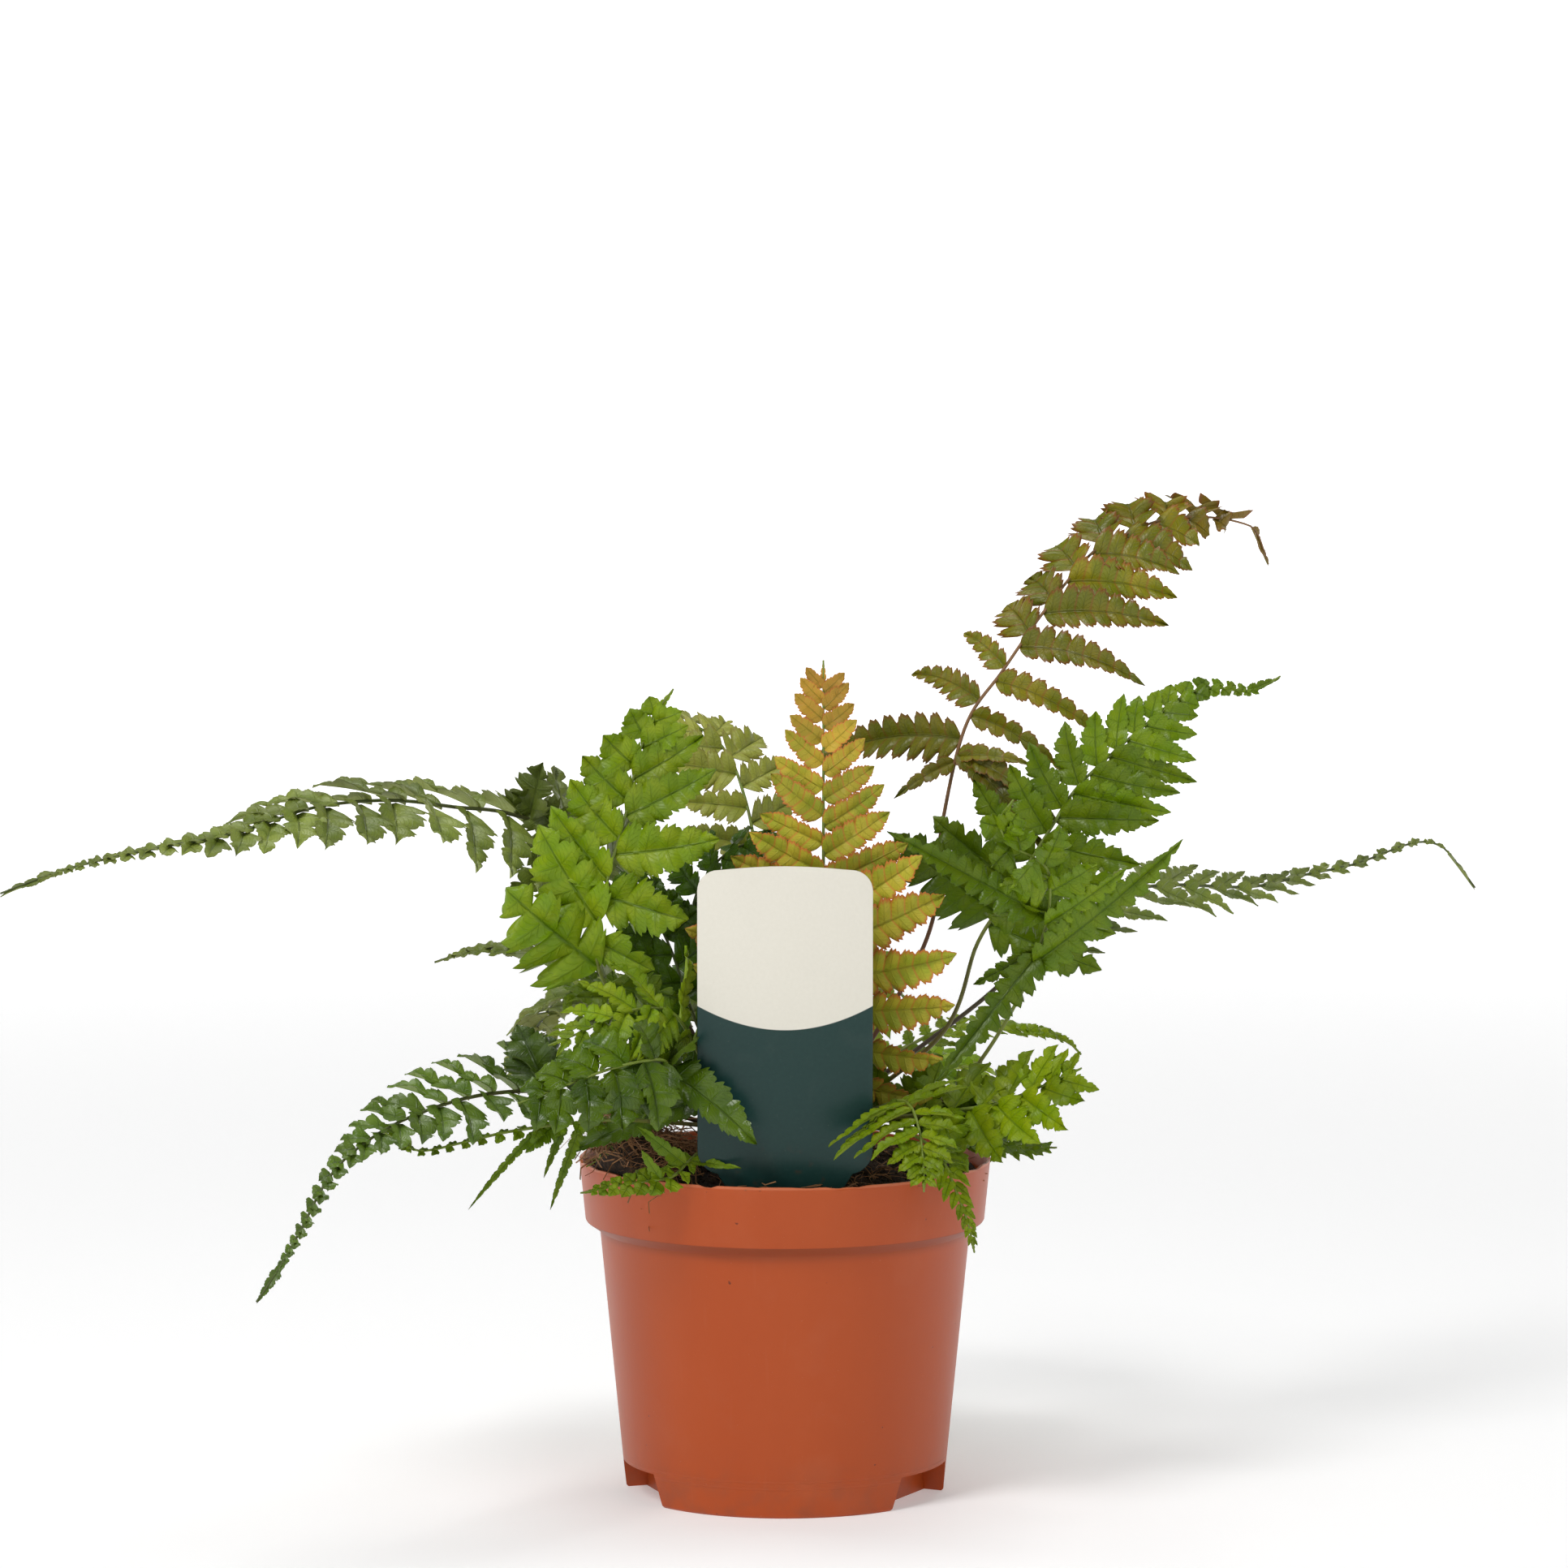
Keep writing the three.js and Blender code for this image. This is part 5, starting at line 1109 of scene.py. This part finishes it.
stalk = leaf_maker.node(
    "GeometryNodeCurveToMesh", Curve=line, Profile_Curve=round_section,
    Scale=leaf_maker.named("radius", "FLOAT"), Fill_Caps=True)
stalk = leaf_maker.node("GeometryNodeSetMaterial", Geometry=stalk, Material=leaf_maker.given("Stalk"))
leaf_maker.finish(leaf_maker.joined_up(blades, stalk))

# Every leaf's veins, edges and mottling come from one effect: a vein down the middle of each lobe with side
# veins that run to its teeth, a paler underside, and clouds of tone
venation, vein_in, vein_out = new_group(
    "leaf_venation", [("Place", "NodeSocketVector"), ("Leaf Place", "NodeSocketVector")],
    [("Veins", "NodeSocketFloat"), ("Margin", "NodeSocketFloat"), ("Under", "NodeSocketFloat"),
     ("Clouds", "NodeSocketFloat"), ("Height", "NodeSocketFloat")])
lobe_count, edge_part, face_side = vein_in["Leaf Place"].split()
lobe_place = lobe_count.part_of_one()
rib = edge_part.ramp(0.09, 0.02)
from_middle = (lobe_place - 0.5).size()
lobe_vein = from_middle.ramp(0.06, 0.01) * edge_part.ramp(0.95, 0.6) * 0.45
fork = (edge_part * 5 - from_middle * 4).part_of_one()
side_vein = (fork - 0.5).size().ramp(0.16, 0.04) * 0.22 * from_middle.ramp(0.5, 0.4)
veins = rib.math("MAXIMUM", lobe_vein).math("MAXIMUM", side_vein)
feed(veins, vein_out.inputs["Veins"])
margin = edge_part.ramp(0.72, 1.0).math("MAXIMUM", from_middle.ramp(0.38, 0.5) * 0.6)
feed(margin, vein_out.inputs["Margin"])
feed(face_side.ramp(0.2, -0.2), vein_out.inputs["Under"])
feed(vein_in["Place"].mottled(130, 4), vein_out.inputs["Clouds"])
pores = vein_in["Place"].mottled(2200, 2)
feed(pores * 0.12 - veins, vein_out.inputs["Height"])


def stored(place, name, output="Vector"):
    """What the mesh keeps on its points under a name."""
    node = place.tree.nodes.new("ShaderNodeAttribute")
    node.attribute_name = name
    return Field(place.tree, node.outputs[output])


def leaf_material(name, middle, second, edge, rim, vein, under, roughness, gloss):
    """A leaf's finish: clouds of two tones, veins, a foot darkened by painted shade and by older tissue, an
    edge that turns and a pale underside.
    """
    material, surface, place = new_material(name, roughness)
    random_tone, frond_part = stored(place, "leaf_tone").split()[:2]
    marks = use_group(venation, place, Leaf_Place=stored(place, "leaf_place"))
    blade = mixed(marks["Clouds"].ramp(0.35, 0.7), paint(*middle), paint(*second))
    ageing = frond_part.ramp(0.65, 1.0) * 0.5
    blade = mixed(marks["Margin"].math("MAXIMUM", ageing) * rim, blade, paint(*edge))
    blade = mixed(marks["Veins"] * 0.55, blade, paint(*vein))
    blade = mixed(marks["Under"] * 0.7, blade, paint(*under))
    # Darker towards each frond's foot: painted shade from inside the plant, and the darker older tissue there
    blade = mixed(frond_part.ramp(0.22, 0.0) * 0.35, blade, paint(*vein))
    feed(blade.vector("SCALE", random_tone * 0.4 + 0.74), surface.inputs["Base Color"])
    dullness = marks["Clouds"] * 0.12 + (roughness - 0.06) + marks["Under"] * 0.2
    feed(dullness, surface.inputs["Roughness"])
    feed(bumped(marks["Height"], 0.6, 0.0005), surface.inputs["Normal"])
    surface.inputs["Specular IOR Level"].default_value = gloss
    return material


def stalk_material(name, foot, tip):
    """A stalk's finish: brown and rough with scales at its foot, and smooth above."""
    material, surface, place = new_material(name, 0.5)
    streaks = place.mottled(500, 3, (1, 1, 0.3))
    skin = mixed(stored(place, "stalk_part", "Fac").ramp(0.1, 0.65), paint(*foot), paint(*tip))
    skin = mixed(streaks.ramp(0.5, 0.7) * 0.35, skin, paint(60, 40, 22))
    feed(skin, surface.inputs["Base Color"])
    feed(bumped(streaks, 0.4, 0.0003), surface.inputs["Normal"])
    return material


stalks = {
    "red": stalk_material("reddish_stalk", (92, 52, 34), (128, 92, 52)),
    "green": stalk_material("green_stalk", (96, 76, 36), (110, 128, 40)),
    "dark": stalk_material("dark_stalk", (62, 44, 26), (72, 84, 34)),
}
leaves = {tone: leaf_material(tone + "_leaf", *look) for tone, look in LEAF_LOOKS.items()}
STALK_OF = {"bronze": "red", "olive": "dark", "dark": "dark", "mossy": "dark"}


def frond_leaflets(frond, midrib, dice):
    """A frond's leaflets: the pairs from the foot up, and then those that turn out of the rows."""
    pairs = frond["pairs"]
    crowding = frond["crowding"]
    leafy_length = midrib.length * (frond["end"] - frond["bare"])
    leaflets = []
    for pair in range(pairs):
        for left in (False, True):
            part = 1 - (1 - (pair + (LEFT_STEP if left else 0)) / pairs) ** crowding
            centre, way, forward, upper, length, half, slant = leaflet_facts(frond, midrib, part, left, dice)
            if part > MERGING_FROM:
                spacing = crowding * (1 - part) ** (1 - 1 / crowding) / pairs * leafy_length
                merging = frond.get("merging", MERGING + MERGING_GAIN * part)
                half = max(half, merging * spacing * max(slant, LEAST_SLANT))
            leaflets.append((centre, way, forward, upper, length, half, part))
    for place, way, face, length, width in frond["extra"]:
        centre = midrib.at(place)[0]
        way = Vector(way).normalized()
        leaflets.append((centre, way, way, squared(Vector(face), way), length, length * width, OUT_OF_ROWS))
    return leaflets


def leaflet_rows(frond, midrib, dice):
    """What the leaf maker reads on each leaflet's point, with the blade at the frond's end last."""
    rows = []
    for centre, way, forward, upper, length, half, part in frond_leaflets(frond, midrib, dice):
        lobes = max(1, round(length / along(frond["lobe"], part)))
        cut = frond.get("extra_cut", frond["cut"][0]) if part == OUT_OF_ROWS else along(frond["cut"], part)
        part = max(part, 0)
        foot_width = FOOT_BREADTH + SHORT_FOOT_GAIN * max(0, 1 - length / SMALL_LEAFLET)
        hang = frond["droop"] + dice.uniform(*HANG_SPREAD)
        rows.append({
            "root": centre * MM, "way": way, "ahead": forward, "upper": upper,
            "grade": (length > SMALL_LEAFLET) + (length > BIG_LEAFLET),
            "size": (length * MM, half * MM, lobes),
            "bend": (frond["sweep"], hang, cut * min(1, length / PLAIN_EDGED_LENGTH)),
            "edge": (foot_width, along([frond["blunt"], frond["blunt_tip"]], part), LOBE_LEAN),
            "tone": (dice.random(), part, 0),
        })
    centre, forward, upper = midrib.at(END_LEAFLET["from"])
    rest = midrib.at(1)[0] - centre
    way = rest.normalized()
    rows.append({
        "root": centre * MM, "way": way, "ahead": way, "upper": squared(upper, way), "grade": 1,
        "size": (rest.length * MM, rest.length * END_LEAFLET["width"] * MM, END_LEAFLET["lobes"]),
        "bend": (0, END_LEAFLET["droop"], END_LEAFLET["cut"]), "edge": (0.9, 1.5, LOBE_LEAN),
        "tone": (dice.random(), 1, 0),
    })
    return rows


def frond_piece(frond, seed):
    """One frond: the points of its leaflets and of its stalk, which the leaf maker makes solid."""
    midrib = Midrib(frond)
    rows = leaflet_rows(frond, midrib, random.Random(seed))
    steps = max(12, round(midrib.length / STALK_POINT_EVERY))
    line = [midrib.at(i / steps)[0] * MM for i in range(steps + 1)]
    mesh = bpy.data.meshes.new(frond["name"])
    mesh.from_pydata(line + [row["root"] for row in rows], [(i, i + 1) for i in range(steps)], [])
    for name in LEAFLET_FACTS:
        layer = mesh.attributes.new(name, "FLOAT_VECTOR", "POINT")
        for i, row in enumerate(rows):
            layer.data[len(line) + i].vector = row[name]
    stalk_facts = [
        (STALK_GRADE, (STALK_RADIUS + (MIDRIB_TIP_RADIUS - STALK_RADIUS) * i / steps) * MM, i / steps)
        for i in range(steps + 1)
    ]
    leaf_facts = [(row["grade"], 0, 1) for row in rows]
    for name, values in zip(("grade", "radius", "stalk_part"), zip(*(stalk_facts + leaf_facts))):
        mesh.attributes.new(name, "FLOAT", "POINT").data.foreach_set("value", values)
    piece = bpy.data.objects.new(frond["name"], mesh)
    bpy.context.scene.collection.objects.link(piece)
    leaf_maker.apply(
        piece, Leaf=leaves[frond["tone"]], Stalk=stalks[STALK_OF.get(frond["tone"], "green")],
        Thickness=BLADE_THICKNESS * MM, **BLADE_FORM)
    for name in ("cell", "grade", "radius", *LEAFLET_FACTS):
        layer = piece.data.attributes.get(name)
        if layer:
            piece.data.attributes.remove(layer)
    smoothed(piece.data, 60)
    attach(piece, "root")
    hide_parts("frond_" + frond["name"])
    "leaf_" + frond.get("slot", frond["tone"])


for number, frond in enumerate(FRONDS):
    frond_piece({**USUAL, **frond}, FIRST_SEED + number)


# The studio: a white floor that curves up all round, soft lights, and the photograph's long lens. None of it
# is part of the object.
CAMERA_PLACE = (-0.0003, -2.1107, 0.4142)
CAMERA_DOWN = 5.6
CAMERA_LENS = 167.7
COVE_RADIUS = 3.2
COVE_BEND = 1.2
COVE_SIDES = 96
COVE_STEPS = 12
LIGHTS_AIM = (0, 0, 0.13)
FLOOR_GLOW_REACH = (0.5, 2.4)
FLOOR_GLOW_NEAR = (150, 150, 150)
FLOOR_GLOW_FAR = (250, 250, 250)
floor_mesh = bmesh.new()
rings = []
for step in range(COVE_STEPS + 1):
    turn = math.radians(90) * step / COVE_STEPS
    radius = COVE_RADIUS + COVE_BEND * math.sin(turn)
    height = COVE_BEND * (1 - math.cos(turn))
    turns = [math.tau * i / COVE_SIDES for i in range(COVE_SIDES)]
    rings.append([floor_mesh.verts.new((radius * math.cos(a), radius * math.sin(a), height)) for a in turns])
floor_mesh.faces.new(rings[0])
for low, high in zip(rings, rings[1:]):
    for i in range(COVE_SIDES):
        j = (i + 1) % COVE_SIDES
        floor_mesh.faces.new((low[i], high[i], high[j], low[j]))
bmesh.ops.recalc_face_normals(floor_mesh, faces=floor_mesh.faces)
floor_data = bpy.data.meshes.new("floor")
floor_mesh.to_mesh(floor_data)
floor_data.shade_smooth()
floor = bpy.data.objects.new("floor", floor_data)
bpy.context.scene.collection.objects.link(floor)
floor_material, surface, place = new_material("white_floor", 0.8)
surface.inputs["Base Color"].default_value = (0.8, 0.8, 0.8, 1)
floor_x, floor_y = place.split()[:2]
outward = (floor_x * floor_x + floor_y * floor_y) ** 0.5
glow = mixed(outward.ramp(*FLOOR_GLOW_REACH), paint(*FLOOR_GLOW_NEAR), paint(*FLOOR_GLOW_FAR))
feed(glow, surface.inputs["Emission Color"])
surface.inputs["Emission Strength"].default_value = 1
floor_data.materials.append(floor_material)
world = bpy.data.worlds.new("soft_white")
world.use_nodes = True
background = world.node_tree.nodes["Background"]
background.inputs["Color"].default_value = (1, 1, 1, 1)
background.inputs["Strength"].default_value = 0.15
bpy.context.scene.world = world
for name, place, size, power in [
    ("key_light", (-0.85, -1.15, 1.7), 0.6, 22.5),
    ("fill_light", (1.4, -0.8, 0.9), 1.0, 0.7),
    ("top_light", (0.1, 0.4, 1.8), 1.0, 12),
]:
    lamp = bpy.data.lights.new(name, "AREA")
    lamp.size = size
    lamp.energy = power
    holder = bpy.data.objects.new(name, lamp)
    holder.location = place
    holder.rotation_euler = (Vector(LIGHTS_AIM) - Vector(place)).to_track_quat("-Z", "Y").to_euler()
    bpy.context.scene.collection.objects.link(holder)
lens = bpy.data.cameras.new("camera")
lens.lens = CAMERA_LENS
lens.sensor_width = 36
lens.clip_start = 0.05
camera = bpy.data.objects.new("camera", lens)
camera.location = CAMERA_PLACE
camera.rotation_euler = (math.radians(90 - CAMERA_DOWN), 0, 0)
bpy.context.scene.collection.objects.link(camera)
bpy.context.scene.camera = camera
bpy.context.scene.view_settings.view_transform = "Standard"
